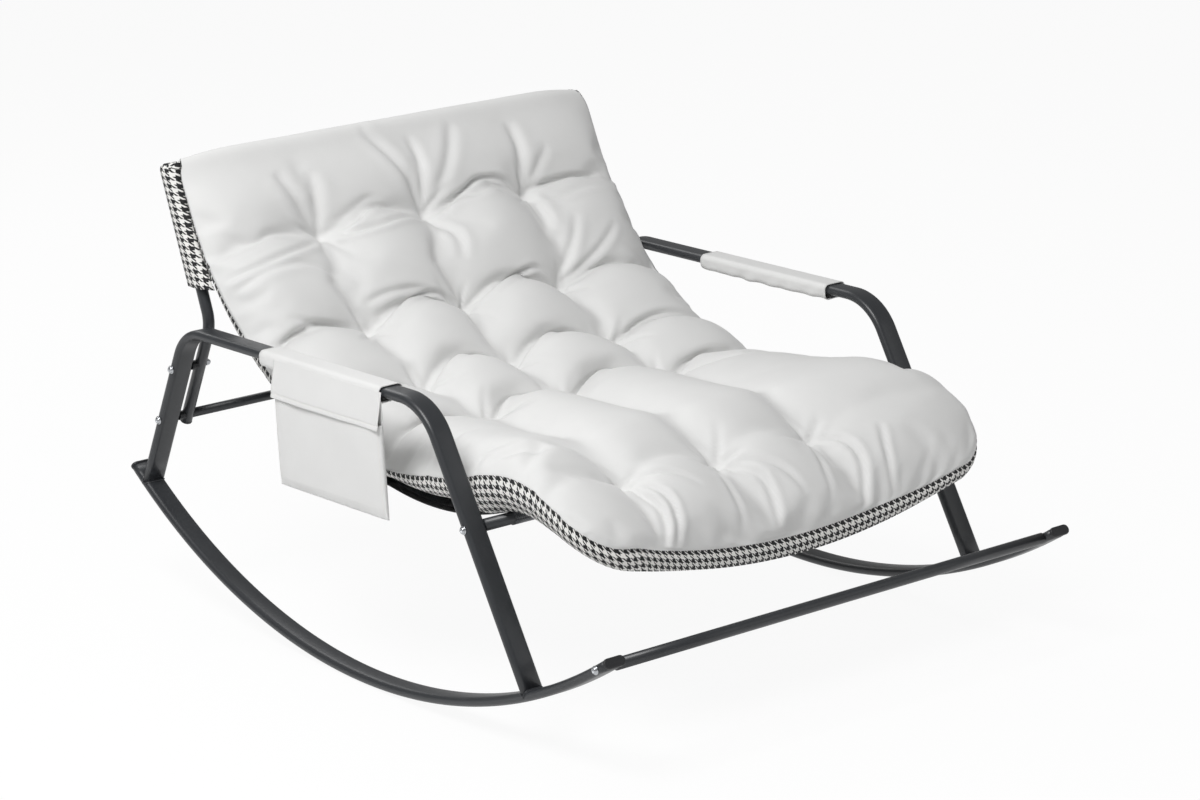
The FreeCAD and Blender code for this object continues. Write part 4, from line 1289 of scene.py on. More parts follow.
@dataclass
class Cushion:
    """Deep fibre-filled cushion: ivory top pulled down at fifteen tufts, houndstooth border and underside."""

    finishes: Finishes
    hammock: Hammock
    sizes: ChairSizes = SIZES
    lift: float = 2.55
    crest: Pair = (420.0, 450.0)
    shoulder: Pair = (575.0, 415.0)
    lip: Pair = (638.0, 362.0)
    crest_bend: float = 200.0
    shoulder_bend: float = 240.0
    lip_sag: float = 60.0
    wrap: float = 36.0
    top_width: float = 1110.0
    seat_width: float = 1080.0
    front_width: float = 1096.0
    draw_in: float = 14.0
    top_rounding: float = 66.0
    front_rounding: float = 120.0
    rows: tuple[float, ...] = (207.0, 468.0, 692.0, 885.0, 1430.0)
    top_mark: float = -75.0
    left_column: tuple[float, ...] = (-274.0, -278.0, -272.0, -240.0, -337.0, -352.0)
    middle_column: tuple[float, ...] = (6.0, -22.0, -46.0, -40.0, -92.0, -64.0)
    right_column: tuple[float, ...] = (286.0, 245.0, 230.0, 238.0, 160.0, 164.0)
    bows: tuple[float, ...] = (22.0, 40.0, 48.0, 44.0, 26.0)
    pits: tuple[float, ...] = (26.0, 26.0, 38.0, 50.0, 30.0)
    end_pits: Pair = (20.0, 38.0)
    crowns: tuple[float, ...] = (48.0, 88.0, 110.0, 130.0, 136.0, 88.0)
    outer_share: float = 0.9
    top_share: float = 0.4
    top_fill: float = 120.0
    edge_lift: float = 34.0
    lift_starts: Pair = (800.0, 960.0)
    lift_ends: Pair = (1130.0, 1290.0)
    row_rise: float = 20.0
    channel_share: float = 0.36
    roundness: float = 0.55
    skew: float = 0.82
    least_crown: float = 10.0
    seam_line: tuple[Pair, ...] = ((0.0, 12.0), (150.0, 16.0), (400.0, 26.0), (679.0, 38.0), (900.0, 46.0),
                                   (1090.0, 74.0), (1280.0, 76.0), (1400.0, 62.0), (1520.0, 46.0))
    seam_ends: Pair = (4.0, 40.0)
    lip_thinning: float = 0.42
    border_bulge: float = 0.16
    seam_tuck: float = 2.2
    step: float = 11.0
    refine: int = 2
    pressure: float = 4.0
    excess: float = 0.05
    cap: float = 26.0
    tuft_hold: float = 12.0
    seam_firmness: float = 0.9
    top_firmness: float = 0.5
    channel_firmness: float = 0.12
    pinch_depth: float = 13.0
    pinch_radius: float = 14.0

    def __post_init__(self) -> None:
        """Work out the line under the cushion and the grid over it."""
        bends = [self.hammock.back_bend, self.hammock.seat_bend, self.crest_bend, self.shoulder_bend]
        self.line = SideLine([*self.hammock.points()[:-1], self.crest, self.shoulder, self.lip], bends)
        self.length = self.line.length
        self.seat_end = self.hammock.line().length
        over_bar = np.linspace(-self.wrap, 0.0, 13)[:-1]
        fine = np.linspace(self.length - 60.0, self.length, 12)
        plain = np.linspace(0.0, self.length - 60.0, round((self.length - 60.0) / self.step) + 1)[:-1]
        self.s = np.concatenate([over_bar, plain, fine])
        spread = np.linspace(-1.0, 1.0, 103)
        self.t = spread * (1.18 - 0.18 * spread * spread)

    def under(self, s: float) -> tuple[Array, Array]:
        """Point of the underside and the direction in which the cushion rises from it."""
        centre = np.array(self.sizes.top_bar_point)
        forward, height, heading = self.line.at(max(s, 0.0))
        normal = np.array([-math.sin(heading), math.cos(heading)])
        if s < 0.0:
            radius = self.hammock.hem_radius(self.sizes.back_tube) + self.lift
            turn = math.atan2(normal[1], normal[0]) - s / radius
            normal = np.array([math.cos(turn), math.sin(turn)])
            return centre + normal * radius, normal
        share = float(smooth_share(s, self.seat_end, self.length))
        rise = normal * (1.0 - share) + np.array([0.0, share])
        return np.array([forward, height]) + normal * self.lift, rise / np.linalg.norm(rise)

    def half_width(self, s: Array) -> Array:
        """Half width at distances along the underside, rounded in at both ends."""
        waist = smooth_share(s, self.rows[0], self.rows[2])
        front = smooth_share(s, self.rows[3], self.seat_end)
        half = self.top_width + (self.seat_width - self.top_width) * waist
        half = (half + (self.front_width - self.seat_width) * front) / 2.0
        for reach, radius in ((s + self.wrap, self.top_rounding), (self.length - s, self.front_rounding)):
            short = np.clip(radius - reach, 0.0, radius)
            half = half - (radius - np.sqrt(radius * radius - short * short))
        return half

    def seam_height(self, s: Array, x: Array) -> Array:
        """Height of the border's upper seam, measured from the underside."""
        ends = (-self.wrap, self.seam_ends[0]), (self.length, self.seam_ends[1])
        places, heights = zip(ends[0], *self.seam_line, ends[1])
        lip = smooth_share(s, 1400.0, self.length) * smooth_share(x, 0.0, 380.0)
        return np.interp(s, places, heights) * (1.0 - self.lip_thinning * lip)

    def column_lines(self, s: Array) -> Array:
        """Side positions of the three columns of tufts at distances along the underside (n, 3)."""
        marks = [*self.rows, self.length]
        lines = (self.left_column, self.middle_column, self.right_column)
        return np.stack([np.interp(s, marks, line) for line in lines], axis=1)

    def heights(self, s: Array, x: Array, half: Array) -> Array:
        """Height of the ivory top over the underside before it swells.

        Args:
            s: Distances along the underside, one per row (n, 1).
            x: Side positions (n, m).
            half: Half width of each row (n, 1).

        Returns:
            Heights (n, m).
        """
        # A lane runs between two columns of tufts and a cell between two rows; q and p are the
        # shares of the way across them.
        marks = np.array([self.top_mark, *self.rows, self.length])
        lines = self.column_lines(s[:, 0])
        edges = np.concatenate([-half, lines, half], axis=1)
        lane = np.clip((x[:, :, None] >= edges[:, None, :]).sum(axis=2) - 1, 0, 3)
        left = np.take_along_axis(edges, lane, axis=1)
        right = np.take_along_axis(edges, lane + 1, axis=1)
        q = np.clip((x - left) / (right - left), 0.0, 1.0)
        bowed = np.clip(s + self.bow(s, q, lane), -self.wrap, self.length)
        cell = np.clip(np.searchsorted(marks, bowed, side="right") - 1, 0, len(marks) - 2)
        p = (bowed - marks[cell]) / (marks[cell + 1] - marks[cell])
        seam = self.seam_height(s, x)
        pits = np.array([self.end_pits[0], *self.pits, self.end_pits[1]])

        def base_at(a: Array, b: Array) -> Array:
            """Height of the low point at a corner of a cell: a pit inside, the seam at the edges."""
            return np.where((b > 0) & (b < 4), pits[a], seam)

        # The low points of a cell's corners, blended, are the base that its bulge stands on.
        low = base_at(cell, lane) * (1.0 - p) + base_at(cell + 1, lane) * p
        high = base_at(cell, lane + 1) * (1.0 - p) + base_at(cell + 1, lane + 1) * p
        base = low * (1.0 - q) + high * q
        bulge_p = np.clip(np.sin(math.pi * np.clip(p, 0.0, 1.0) ** self.skew), 0.0, 1.0) ** self.roundness
        bulge_q = np.clip(np.sin(math.pi * q), 0.0, 1.0) ** self.roundness
        # The columns' channels fade out above the first row of tufts.
        plain = np.where(cell == 0, 1.0 - smooth_share(p, 0.15, 0.9), 0.0)
        inside = ((lane == 0) & (q > 0.5)) | ((lane == 3) & (q < 0.5)) | (lane == 1) | (lane == 2)
        bulge_q = np.where(inside, bulge_q + (1.0 - bulge_q) * plain, bulge_q ** (1.0 + 0.9 * plain))
        # Creases and channels lie higher between two tufts than at them.
        row_rise = np.array([0.0, *[self.row_rise] * len(self.rows), 0.0])
        rows = (row_rise[cell] * (1.0 - p) + row_rise[cell + 1] * p) * bulge_q
        outer = ((lane == 0) | (lane == 3)) & (cell > 0)
        crown = np.array(self.crowns)[cell] * np.where(outer, self.outer_share, 1.0)
        over = np.maximum(crown - base, self.least_crown)
        inner_left, inner_right = (lane > 0).astype(float), (lane < 3).astype(float)
        channel = over * self.channel_share * bulge_p * (inner_left * (1.0 - q) + inner_right * q)
        height = base + rows * (1.0 - bulge_p) + channel * (1.0 - bulge_q) + over * bulge_p * bulge_q
        # The top edge is thinner and rolls over the top bar.
        full = self.top_share + (1.0 - self.top_share) * smooth_share(s, -self.wrap, self.top_fill)
        height = seam + (height - seam) * full
        roll = np.clip(-s / self.wrap, 0.0, 1.0)
        return np.where(s < 0.0, seam + (height - seam) * (1.0 - roll ** 1.6) ** 0.9, height)

    def bow(self, s: Array, q: Array, lane: Array) -> Array:
        """How far a row's crease bows towards the top edge between two tufts."""
        ends = np.where(lane == 0, q, np.where(lane == 3, 1.0 - q, 1.0))
        return np.interp(s, self.rows, self.bows) * np.sin(math.pi * q) * ends

    def lay(self, top: bool) -> Array:
        """Grid of points of the ivory top or of the underside (rows, columns, 3)."""
        s = self.s[:, None]
        half = self.half_width(self.s)[:, None]
        x = self.t[None, :] * (half if top else np.maximum(half - self.draw_in, 0.0))
        over_mesh = smooth_share(s, *self.lift_starts) * (1.0 - smooth_share(s, *self.lift_ends))
        clear = self.edge_lift * over_mesh * smooth_share(np.abs(self.t)[None, :], 0.76, 1.0)
        height = self.heights(s, x, half) if top else clear
        share = smooth_share(s, self.seat_end, self.length)
        droop = self.lip_sag * share * (1.0 - (x / half) ** 2)
        points = np.empty(x.shape + (3,))
        for row, distance in enumerate(self.s):
            origin, rise = self.under(float(distance))
            points[row, :, 0] = x[row]
            points[row, :, 1] = origin[0] + rise[0] * height[row]
            points[row, :, 2] = origin[1] + rise[1] * height[row] - droop[row]
        return points

    def tufts(self) -> list[Pair]:
        """Places of the tufts as distance along the underside and side position."""
        return [(row, float(x)) for row in self.rows for x in self.column_lines(np.array([row]))[0]]

    def swell(self, top: Array, bottom: Array) -> Array:
        """Swell the ivory top like filled cloth held at its tufts, its seam and its channels."""
        rows, columns = top.shape[:2]
        count = rows * columns
        faces = grid_faces(rows, columns) + grid_faces(rows, columns, count)
        loop = perimeter(rows, columns)
        faces += [[a, b, count + b, count + a] for a, b in zip(loop, loop[1:] + loop[:1])]
        s = np.broadcast_to(self.s[:, None], (rows, columns))
        lines = self.column_lines(self.s)
        channel = np.abs(top[:, :, 0][:, :, None] - lines[:, None, :]).min(axis=2)
        between = (s > self.rows[0]) & (s < self.length)
        held = np.where((channel < self.step) & between, self.channel_firmness, 0.0)
        for row, x in self.tufts():
            away = np.hypot(s - row, top[:, :, 0] - x)
            held = np.maximum(held, np.where(away < self.tuft_hold, 1.0, 0.0))
        held[0, :] = held[-1, :] = self.seam_firmness
        held[:, 0] = held[:, -1] = self.seam_firmness
        held[:3, :] = np.maximum(held[:3, :], self.top_firmness)
        firm = np.concatenate([held.ravel(), np.ones(count)])
        points = np.concatenate([top.reshape(-1, 3), bottom.reshape(-1, 3)])
        moved = settle(points, faces, firm, self.pressure, self.excess, self.cap)
        share = smooth_share(s, -10.0, 130.0)[:, :, None]
        return top + (moved[:count].reshape(rows, columns, 3) - top) * share

    def fold(self, top: Array, s: Array, x: Array) -> Array:
        """Press the tufts' pinches, puckers and gathers into the refined top.

        Args:
            top: Refined grid of points.
            s: Distance along the underside of each point.
            x: Side position of each point before it swelled.

        Returns:
            The folded grid.
        """
        chance = np.random.default_rng(11)
        press = np.zeros(s.shape)
        for row, column in self.tufts():
            away = np.hypot(s - row, x - column)
            press -= self.pinch_depth * np.exp(-(away / self.pinch_radius) ** 2)
            count = int(chance.integers(5, 8))
            start = chance.uniform(0.0, math.tau)
            for index in range(count):
                turn = start + math.tau * index / count + chance.uniform(-0.28, 0.28)
                reach = chance.uniform(55.0, 110.0)
                depth = chance.uniform(2.0, 5.0)
                press += crease(s - row, x - column, turn, 6.0, reach, depth, chance.uniform(6.0, 10.0),
                                chance.uniform(-0.35, 0.35))
        for depth, width, lap, *route in SEWN_FOLDS:
            press += fold_line(s, x, route, depth, width, lap)
        return top + grid_normals(top) * press[:, :, None]

    def border(self, upper: Array, lower: Array, middle: Array) -> list[Array]:
        """Bulging loops of points down the border, one for each of BORDER_SHARES.

        Args:
            upper: Points of the upper seam, once round.
            lower: Points of the lower seam, once round.
            middle: Middle of the underside.

        Returns:
            The loops, the upper one first.
        """
        along = np.roll(lower, -1, axis=0) - np.roll(lower, 1, axis=0)
        outward = np.cross(along, upper - lower)
        outward /= np.maximum(np.linalg.norm(outward, axis=1, keepdims=True), 1e-9)
        flip = np.sign(((lower - middle) * outward).sum(axis=1).mean())
        outward *= flip if flip else 1.0
        tall = np.linalg.norm(upper - lower, axis=1, keepdims=True)
        loops = []
        for share in BORDER_SHARES:
            tuck = self.seam_tuck if share == BORDER_SHARES[0] else 0.0
            bulge = tall * self.border_bulge * math.sin(math.pi * share) - tuck
            loops.append(upper + (lower - upper) * share + outward * bulge)
        return loops

    def build(self) -> bpy.types.Object:
        """Make the cushion."""
        top, bottom = self.lay(True), self.lay(False)
        flat_s = np.broadcast_to(self.s[:, None], top.shape[:2])
        flat_x = self.t[None, :] * self.half_width(self.s)[:, None]
        top = eased(top, 3)
        top = eased(self.swell(top, bottom), 2)
        fine_top, fine_bottom, fine_s, fine_x = (
            catmull(catmull(grid, self.refine, 0), self.refine, 1) for grid in (top, bottom, flat_s, flat_x))
        fine_top = self.fold(fine_top, fine_s, fine_x)
        rows, columns = fine_s.shape
        count = rows * columns
        loop = perimeter(rows, columns)
        upper = fine_top.reshape(-1, 3)[loop]
        lower = fine_bottom.reshape(-1, 3)[loop]
        border = self.border(upper, lower, fine_bottom.reshape(-1, 3).mean(axis=0))
        faces = grid_faces(rows, columns)
        slots = [0] * len(faces)
        faces += grid_faces(rows, columns, count)
        around = len(loop)
        loops = [loop]
        loops += [[2 * count + level * around + k for k in range(around)]
                  for level in range(len(BORDER_SHARES))]
        loops.append([count + k for k in loop])
        for first, second in zip(loops, loops[1:]):
            for k in range(around):
                after = (k + 1) % around
                faces.append([first[k], first[after], second[after], second[k]])
        slots += [1] * (len(faces) - len(slots))
        points = np.concatenate([fine_top.reshape(-1, 3), fine_bottom.reshape(-1, 3), *border])
        run = np.concatenate([[0.0], np.cumsum(np.linalg.norm(np.diff(lower, axis=0), axis=1))])
        tall = np.linalg.norm(upper - lower, axis=1)
        flat_top = np.stack([fine_x, fine_s], axis=-1).reshape(-1, 2)
        flat_border = [np.stack([run, tall * share], axis=-1) for share in BORDER_SHARES]
        flat = np.concatenate([flat_top, flat_top, *flat_border])
        cushion = make_piece("tufted_cushion_cover", points, faces,
                             [self.finishes.ivory, self.finishes.check], slots=slots, flat=flat)
        fix_ring_flat(cushion, 2 * count, run, tall, loop)
        return dress(cushion, "ivory_cloth", "tufted_cushion")


def eased(grid: Array, passes: int) -> Array:
    """Smooth the inside of a grid of points a little, mostly across the cushion."""
    grid = grid.copy()
    for _ in range(passes):
        grid[:, 1:-1] += 0.25 * (grid[:, :-2] - 2.0 * grid[:, 1:-1] + grid[:, 2:])
    grid[1:-1] += 0.2 * (grid[:-2] - 2.0 * grid[1:-1] + grid[2:])
    return grid


def fold_line(s: Array, x: Array, route: Sequence[Pair], depth: float, width: float, lap: float) -> Array:
    """Fold along a bent route, with a rounded lip of cloth lapping over its lower side.

    Args:
        s: Distance along the cushion of each point.
        x: Side position of each point.
        route: Distances and side positions that the fold runs through.
        depth: Depth of the valley.
        width: Half width of the valley.
        lap: Height of the lip as a share of the depth.

    Returns:
        Height that the fold adds at each point.
    """
    knots = np.array(route, dtype=float)
    for _ in range(3):
        knots = np.concatenate([knots[:1], np.stack(
            [knots[:-1] * 0.75 + knots[1:] * 0.25, knots[:-1] * 0.25 + knots[1:] * 0.75], axis=1
        ).reshape(-1, 2), knots[-1:]])
    run = np.concatenate([[0.0], np.cumsum(np.linalg.norm(np.diff(knots, axis=0), axis=1))])
    near = np.full(s.shape, 1e9)
    share = np.zeros(s.shape)
    over = np.zeros(s.shape)
    for (a, b), (c, d), first, last in zip(knots[:-1], knots[1:], run[:-1], run[1:]):
        reach = max(math.hypot(c - a, d - b), 1e-6)
        ahead = np.clip(((s - a) * (c - a) + (x - b) * (d - b)) / reach ** 2, 0.0, 1.0)
        aside_s, aside_x = s - a - ahead * (c - a), x - b - ahead * (d - b)
        away = np.hypot(aside_s, aside_x)
        closer = away < near
        near = np.where(closer, away, near)
        share = np.where(closer, (first + ahead * (last - first)) / run[-1], share)
        over = np.where(closer, np.sign(aside_s + 0.2 * aside_x), over)
    fade = np.sin(math.pi * np.clip(share, 0.0, 1.0) ** 0.8) ** 0.7
    valley = np.exp(-(near / width) ** 2)
    ridge = np.exp(-((near - 2.0 * width) / (1.3 * width)) ** 2)
    return depth * fade * (ridge * np.where(over > 0.0, lap, 0.25) - valley)


def perimeter(rows: int, columns: int) -> list[int]:
    """Indices round the edge of a grid of points, once round."""
    loop = list(range(columns))
    loop += [row * columns + columns - 1 for row in range(1, rows)]
    loop += [(rows - 1) * columns + column for column in range(columns - 2, -1, -1)]
    loop += [row * columns for row in range(rows - 2, 0, -1)]
    return loop


def crease(ds: Array, dx: Array, turn: float, start: float, reach: float, depth: float, width: float,
           curl: float) -> Array:
    """Narrow fold that runs out from a point and dies away.

    Args:
        ds: Distance from the point along the cushion.
        dx: Distance from the point across it.
        turn: Direction of the fold.
        start: Where it begins.
        reach: Where it ends.
        depth: Its depth.
        width: Its half width at the far end.
        curl: How much it curves.

    Returns:
        Height that the fold adds, mostly negative.
    """
    ahead = ds * math.cos(turn) + dx * math.sin(turn)
    aside = -ds * math.sin(turn) + dx * math.cos(turn) - curl * ahead * np.abs(ahead) / reach
    share = np.clip((ahead - start) / (reach - start), 0.0, 1.0)
    fade = np.where((ahead > start) & (ahead < reach), np.sin(math.pi * share ** 0.55), 0.0)
    spread = width * (0.55 + 0.6 * share)
    valley = np.exp(-(aside / spread) ** 2)
    ridge = np.exp(-((np.abs(aside) - 1.9 * spread) / spread) ** 2)
    return depth * fade * (0.42 * ridge - valley)


def fix_ring_flat(piece: bpy.types.Object, start: int, run: Array, tall: Array, loop: Sequence[int]) -> None:
    """Give the border its own flat coordinates along its seam, so that its cloth isn't stretched.

    Args:
        piece: The cushion.
        start: Index of the border's first own point.
        run: Distance round the border at each point of a loop.
        tall: Height of the border at each point of a loop.
        loop: Indices of the top's edge points.
    """
    mesh = piece.data
    place = {index: k for k, index in enumerate(loop)}
    under = {start // 2 + index: k for k, index in enumerate(loop)}
    total = run[-1]
    layer = mesh.uv_layers.active.data
    for face in mesh.polygons:
        corners = list(face.vertices)
        if face.material_index != 1 or not any(index >= start for index in corners):
            continue
        spots = []
        for index in corners:
            if index >= start:
                level, k = divmod(index - start, len(loop))
                spots.append((run[k], tall[k] * BORDER_SHARES[level]))
            elif index in place:
                spots.append((run[place[index]], 0.0))
            else:
                spots.append((run[under[index]], tall[under[index]]))
        reach = max(spot[0] for spot in spots)
        for corner, (u, v) in zip(face.loop_indices, spots):
            layer[corner].uv = ((u + total if reach - u > total / 2.0 else u) * MM, v * MM)


# Cloth fittings.


@dataclass
class Hood:
    """Houndstooth hood that slips over the top of the back frame."""

    finishes: Finishes
    cushion: Cushion
    half: float = 569.0
    hem_point: Pair = (-639.3, 688.0)
    roof_point: Pair = (-733.2, 926.5)
    roof_rear: Pair = (-13.0, 16.5)
    roof_front: Pair = (9.0, 17.0)
    corner: float = 46.0
    cloth: float = 1.6
    billow: float = 5.0
    gusset: float = 90.0
    gusset_columns: int = 10

    def back_line(self) -> SideLine:
        """Side view of the back panel, from the hem up to the roof."""
        top = np.array(self.cushion.sizes.top_bar_point)
        return SideLine([self.hem_point, self.roof_point, tuple(top + self.roof_rear),
                         tuple(top + self.roof_front)], [9.0, 5.0])

    def half_at(self, left_over: float) -> float:
        """Half width of the panel at a distance below its upper end."""
        short = min(self.corner, max(0.0, self.corner - left_over))
        return self.half - (self.corner - math.sqrt(self.corner ** 2 - short ** 2))

    def build(self) -> None:
        """Make the back panel and the two gussets as one sewn cloth."""
        line = self.back_line()
        distances = sorted(set(np.round([*np.linspace(0.0, line.length, 34), *line.stations(12.0, 12.0)], 3)))
        spread = np.linspace(-1.0, 1.0, 91)
        points, flat = [], []
        for distance in distances:
            forward, height, heading = line.at(distance)
            half = self.half_at(line.length - distance)
            normal = (-math.sin(heading), math.cos(heading))
            for w in spread:
                billow = self.billow * math.sin(math.pi * (w * 3.0 + 0.4 * distance / line.length))
                billow *= math.sin(math.pi * min(1.0, (line.length - distance) / line.length))
                billow *= 1.0 - abs(w) ** 6
                points.append((w * half, forward + normal[0] * billow * 0.5,
                               height + normal[1] * billow * 0.5))
                flat.append((w * half, distance))
        faces = grid_faces(len(distances), len(spread))
        cushion = self.cushion
        samples = np.linspace(0.0, 420.0, 200)
        unders = [cushion.under(float(s))[0] for s in samples]
        heights = np.array([point[1] for point in unders])
        for side in Side:
            start = len(points)
            for distance in distances:
                forward, height, _ = line.at(distance)
                half = self.half_at(line.length - distance)
                s = float(np.interp(-height, -heights, samples))
                front, _ = cushion.under(s)
                edge = float(cushion.half_width(np.array([s]))[0]) - cushion.draw_in * 0.45
                for column in range(self.gusset_columns + 1):
                    share = column / self.gusset_columns
                    x = half + (edge - half) * share ** 3.5 + 1.5 * math.sin(math.pi * share)
                    points.append((side.value * x, forward + (front[0] - forward) * share,
                                   height + (min(front[1], height) - height) * share))
                    flat.append((share * (front[0] - forward), distance))
            faces += grid_faces(len(distances), self.gusset_columns + 1, start)
        hood = make_piece("hood_cloth", np.array(points), faces, [self.finishes.check], flat=np.array(flat),
                          outward=False)
        work = bmesh.new()
        work.from_mesh(hood.data)
        bmesh.ops.remove_doubles(work, verts=work.verts, dist=0.0008)
        bmesh.ops.recalc_face_normals(work, faces=work.faces)
        work.to_mesh(hood.data)
        work.free()
        thicken(hood, self.cloth)
        wide, tall = 2.0 * (self.half + self.gusset) * MM, line.length * MM
        dress(hood, "ivory_cloth", "cushion_hood")


@dataclass
class ArmSleeve:
    """Ivory cloth sleeve wrapped round an armrest, closed along its underside."""

    finishes: Finishes
    side: Side
    sizes: ChairSizes = SIZES
    rear: float = -305.0
    front: float = 95.0
    width: float = 57.0
    depth: float = 32.0
    top: float = 12.6
    rounding: float = 11.0
    cloth: float = 1.8
    rows: int = 54
    columns: int = 72

    def section(self) -> Array:
        """Rounded outline of the sleeve, across and up from the armrest's centreline."""
        half, low = self.width / 2.0, self.top - self.depth
        corners = [(0.0, low), (half, low), (half, self.top), (-half, self.top), (-half, low), (0.0, low)]
        route = rounded_route([(a, b, 0.0) for a, b in corners], [self.rounding] * 4, 9.0)[:, :2]
        run = np.concatenate([[0.0], np.cumsum(np.linalg.norm(np.diff(route, axis=0), axis=1))])
        even = np.linspace(0.0, run[-1], self.columns)
        return np.stack([np.interp(even, run, route[:, 0]), np.interp(even, run, route[:, 1])], axis=1)

    def build(self) -> bpy.types.Object:
        """Make the sleeve."""
        s = self.sizes
        outline = self.section()
        rise = math.radians(s.arm_rise)
        chance = np.random.default_rng(5 if self.side is Side.LEFT else 8)
        waves = [(chance.uniform(0.4, 0.9), chance.uniform(35.0, 110.0), chance.uniform(0, 6),
                  int(chance.integers(1, 5))) for _ in range(7)]
        points, flat = [], []
        length = (self.front - self.rear) / math.cos(rise)
        for row in range(self.rows):
            run = length * row / (self.rows - 1)
            forward, height = s.arm_point(self.rear + run * math.cos(rise))
            end = math.exp(-(min(run, length - run) / 9.0) ** 2)
            for column, (a, b) in enumerate(outline):
                turn = math.tau * column / (self.columns - 1)
                loose = sum(size * math.sin(math.tau * run / pitch + phase + turn * order)
                            for size, pitch, phase, order in waves)
                under = 0.5 - 0.5 * math.cos(math.pi * min(1.0, max(0.0, (self.top - b) / self.depth)))
                grow = 1.0 + (loose * (0.25 + under) * 0.5 + end * 0.8) / 28.0
                x = a * (grow if abs(a) > 1e-6 else 1.0)
                lift = b - loose * under * 0.3 - 2.0 * under * math.sin(math.pi * row / (self.rows - 1))
                points.append((self.side.value * s.half + x, forward - math.sin(rise) * lift,
                               height + math.cos(rise) * lift))
                flat.append((turn * 26.0, run))
        faces = grid_faces(self.rows, self.columns)
        piece = make_piece(f"{self.side.label}_sleeve_cloth", np.array(points), faces,
                           [self.finishes.ivory], flat=np.array(flat), outward=False)
        thicken(piece, self.cloth)
        return dress(piece, "ivory_cloth", f"{self.side.label}_arm_sleeve")


@dataclass
class SidePouch:
    """Flat ivory pouch hung from the left sleeve, under a flap with a sewn hem."""

    finishes: Finishes
    sizes: ChairSizes = SIZES
    rear: float = -247.0
    front: float = 110.0
    bottom: float = 370.0
    mouth: float = 562.0
    flap_edge: float = 552.0
    top: float = 628.0
    inner: float = -629.5
    depth: float = 12.0
    lean: float = 0.085
    set_back: float = 8.0
    cloth: float = 1.4
    hem: float = 9.0
    flap_swing: float = 17.5
    stitch_pitch: float = 4.2
    stitch_length: float = 3.0

    def along(self, height: float) -> float:
        """How far the cloth has swung forward at a height."""
        return (self.top - height) * self.lean - self.set_back

    def rise(self, forward: float) -> float:
        """Height gained with the armrest's slope."""
        return (forward - (self.rear + self.front) / 2.0) * math.tan(math.radians(self.sizes.arm_rise))

    def bag_x(self, share: float, height: float) -> float:
        """Side position of the bag's outer panel."""
        level = (height - self.bottom) / (self.mouth - self.bottom)
        pinch = max(0.0, 1.0 - abs(2.0 * share - 1.0) ** 7) ** 0.5
        full = self.depth * (0.45 + 0.55 * math.sin(math.pi * min(1.0, 0.2 + 0.62 * level)))
        foot = min(1.0, math.sqrt(max(0.0, level) * 7.0) + 0.12)
        soft = 1.8 * math.sin(5.0 * share + 3.0 * level) + 1.2 * math.sin(11.0 * share - 4.0 * level)
        rim = 1.2 * math.exp(-((height - self.mouth + 7.0) / 1.8) ** 2)
        return self.inner - 1.6 - (full + soft * 0.8) * pinch * foot + rim

    def panel(self, name: str, low: float, high: float, x_at: Callable[[float, float], float],
              drop_front: float = 0.0) -> bpy.types.Object:
        """Make one panel of cloth between two heights.

        Args:
            name: Name of the piece.
            low: Height of its lower edge.
            high: Height of its upper edge.
            x_at: Side position from the share of the way forward and the height.
            drop_front: How much lower its front end is.

        Returns:
            The panel.
        """
        rows, columns = 64, 80
        points, flat = [], []
        for row in range(rows):
            height = low + (high - low) * row / (rows - 1)
            for column in range(columns):
                share = column / (columns - 1)
                forward = self.rear + (self.front - self.rear) * share + self.along(height)
                lift = self.rise(forward) - drop_front * share * (high - height) / (high - low)
                points.append((x_at(share, height), forward, height + lift))
                flat.append((forward, height))
        piece = make_piece(name, np.array(points), grid_faces(rows, columns), [self.finishes.ivory],
                           flat=np.array(flat), outward=False)
        thicken(piece, self.cloth)
        return piece

    def flap_x(self, share: float, height: float) -> float:
        """Side position of the flap, which hangs off the sleeve's outer edge."""
        level = np.clip((self.top - height) / (self.top - self.flap_edge), 0.0, 1.0)
        wave = 1.1 * math.sin(7.0 * share + 2.0 * level) + 0.6 * math.sin(17.0 * share)
        groove = 1.3 * math.exp(-((height - self.flap_edge - self.hem) / 1.8) ** 2)
        fall = self.flap_swing * float(smooth_share(level, -0.25, 1.15))
        return self.inner + 2.0 - fall + wave * float(level) + groove

    def stitches(self) -> Form:
        """Rows of stitches along the flap's hem and the bag's side edges."""
        parts = []
        span = self.front - self.rear
        for share in np.arange(6.0, span - 6.0, self.stitch_pitch) / span:
            height = self.flap_edge + self.hem
            forward = self.rear + span * share + self.along(height)
            centre = np.array([self.flap_x(share, height) - self.cloth * 0.6,
                               forward, height + self.rise(forward)])
            parts.append(stitch(centre, np.array([0.0, 1.0, 0.03]), self.stitch_length))
        for share in (0.022, 0.978):
            for height in np.arange(self.bottom + 10.0, self.flap_edge - 4.0, self.stitch_pitch):
                forward = self.rear + span * share + self.along(height)
                centre = np.array([self.bag_x(share, height) - self.cloth * 0.55,
                                   forward, height + self.rise(forward)])
                parts.append(stitch(centre, np.array([0.0, -self.lean, 1.0]), self.stitch_length))
        return joined(parts)

    def build(self) -> None:
        """Make the bag, its back, the flap and the stitches."""
        bag = self.panel("pouch_outer_panel", self.bottom, self.mouth, self.bag_x)
        back = self.panel("pouch_inner_panel", self.bottom, self.top - 18.0,
                          lambda share, height: self.inner - 0.4)
        flap = self.panel("pouch_flap", self.flap_edge, self.top, self.flap_x)
        dress(bag, "ivory_cloth", "side_pocket")
        dress(back, "ivory_cloth")
        dress(flap, "ivory_cloth")
        dress(make_piece("pouch_stitching", *self.stitches(), [self.finishes.thread]), "ivory_cloth")


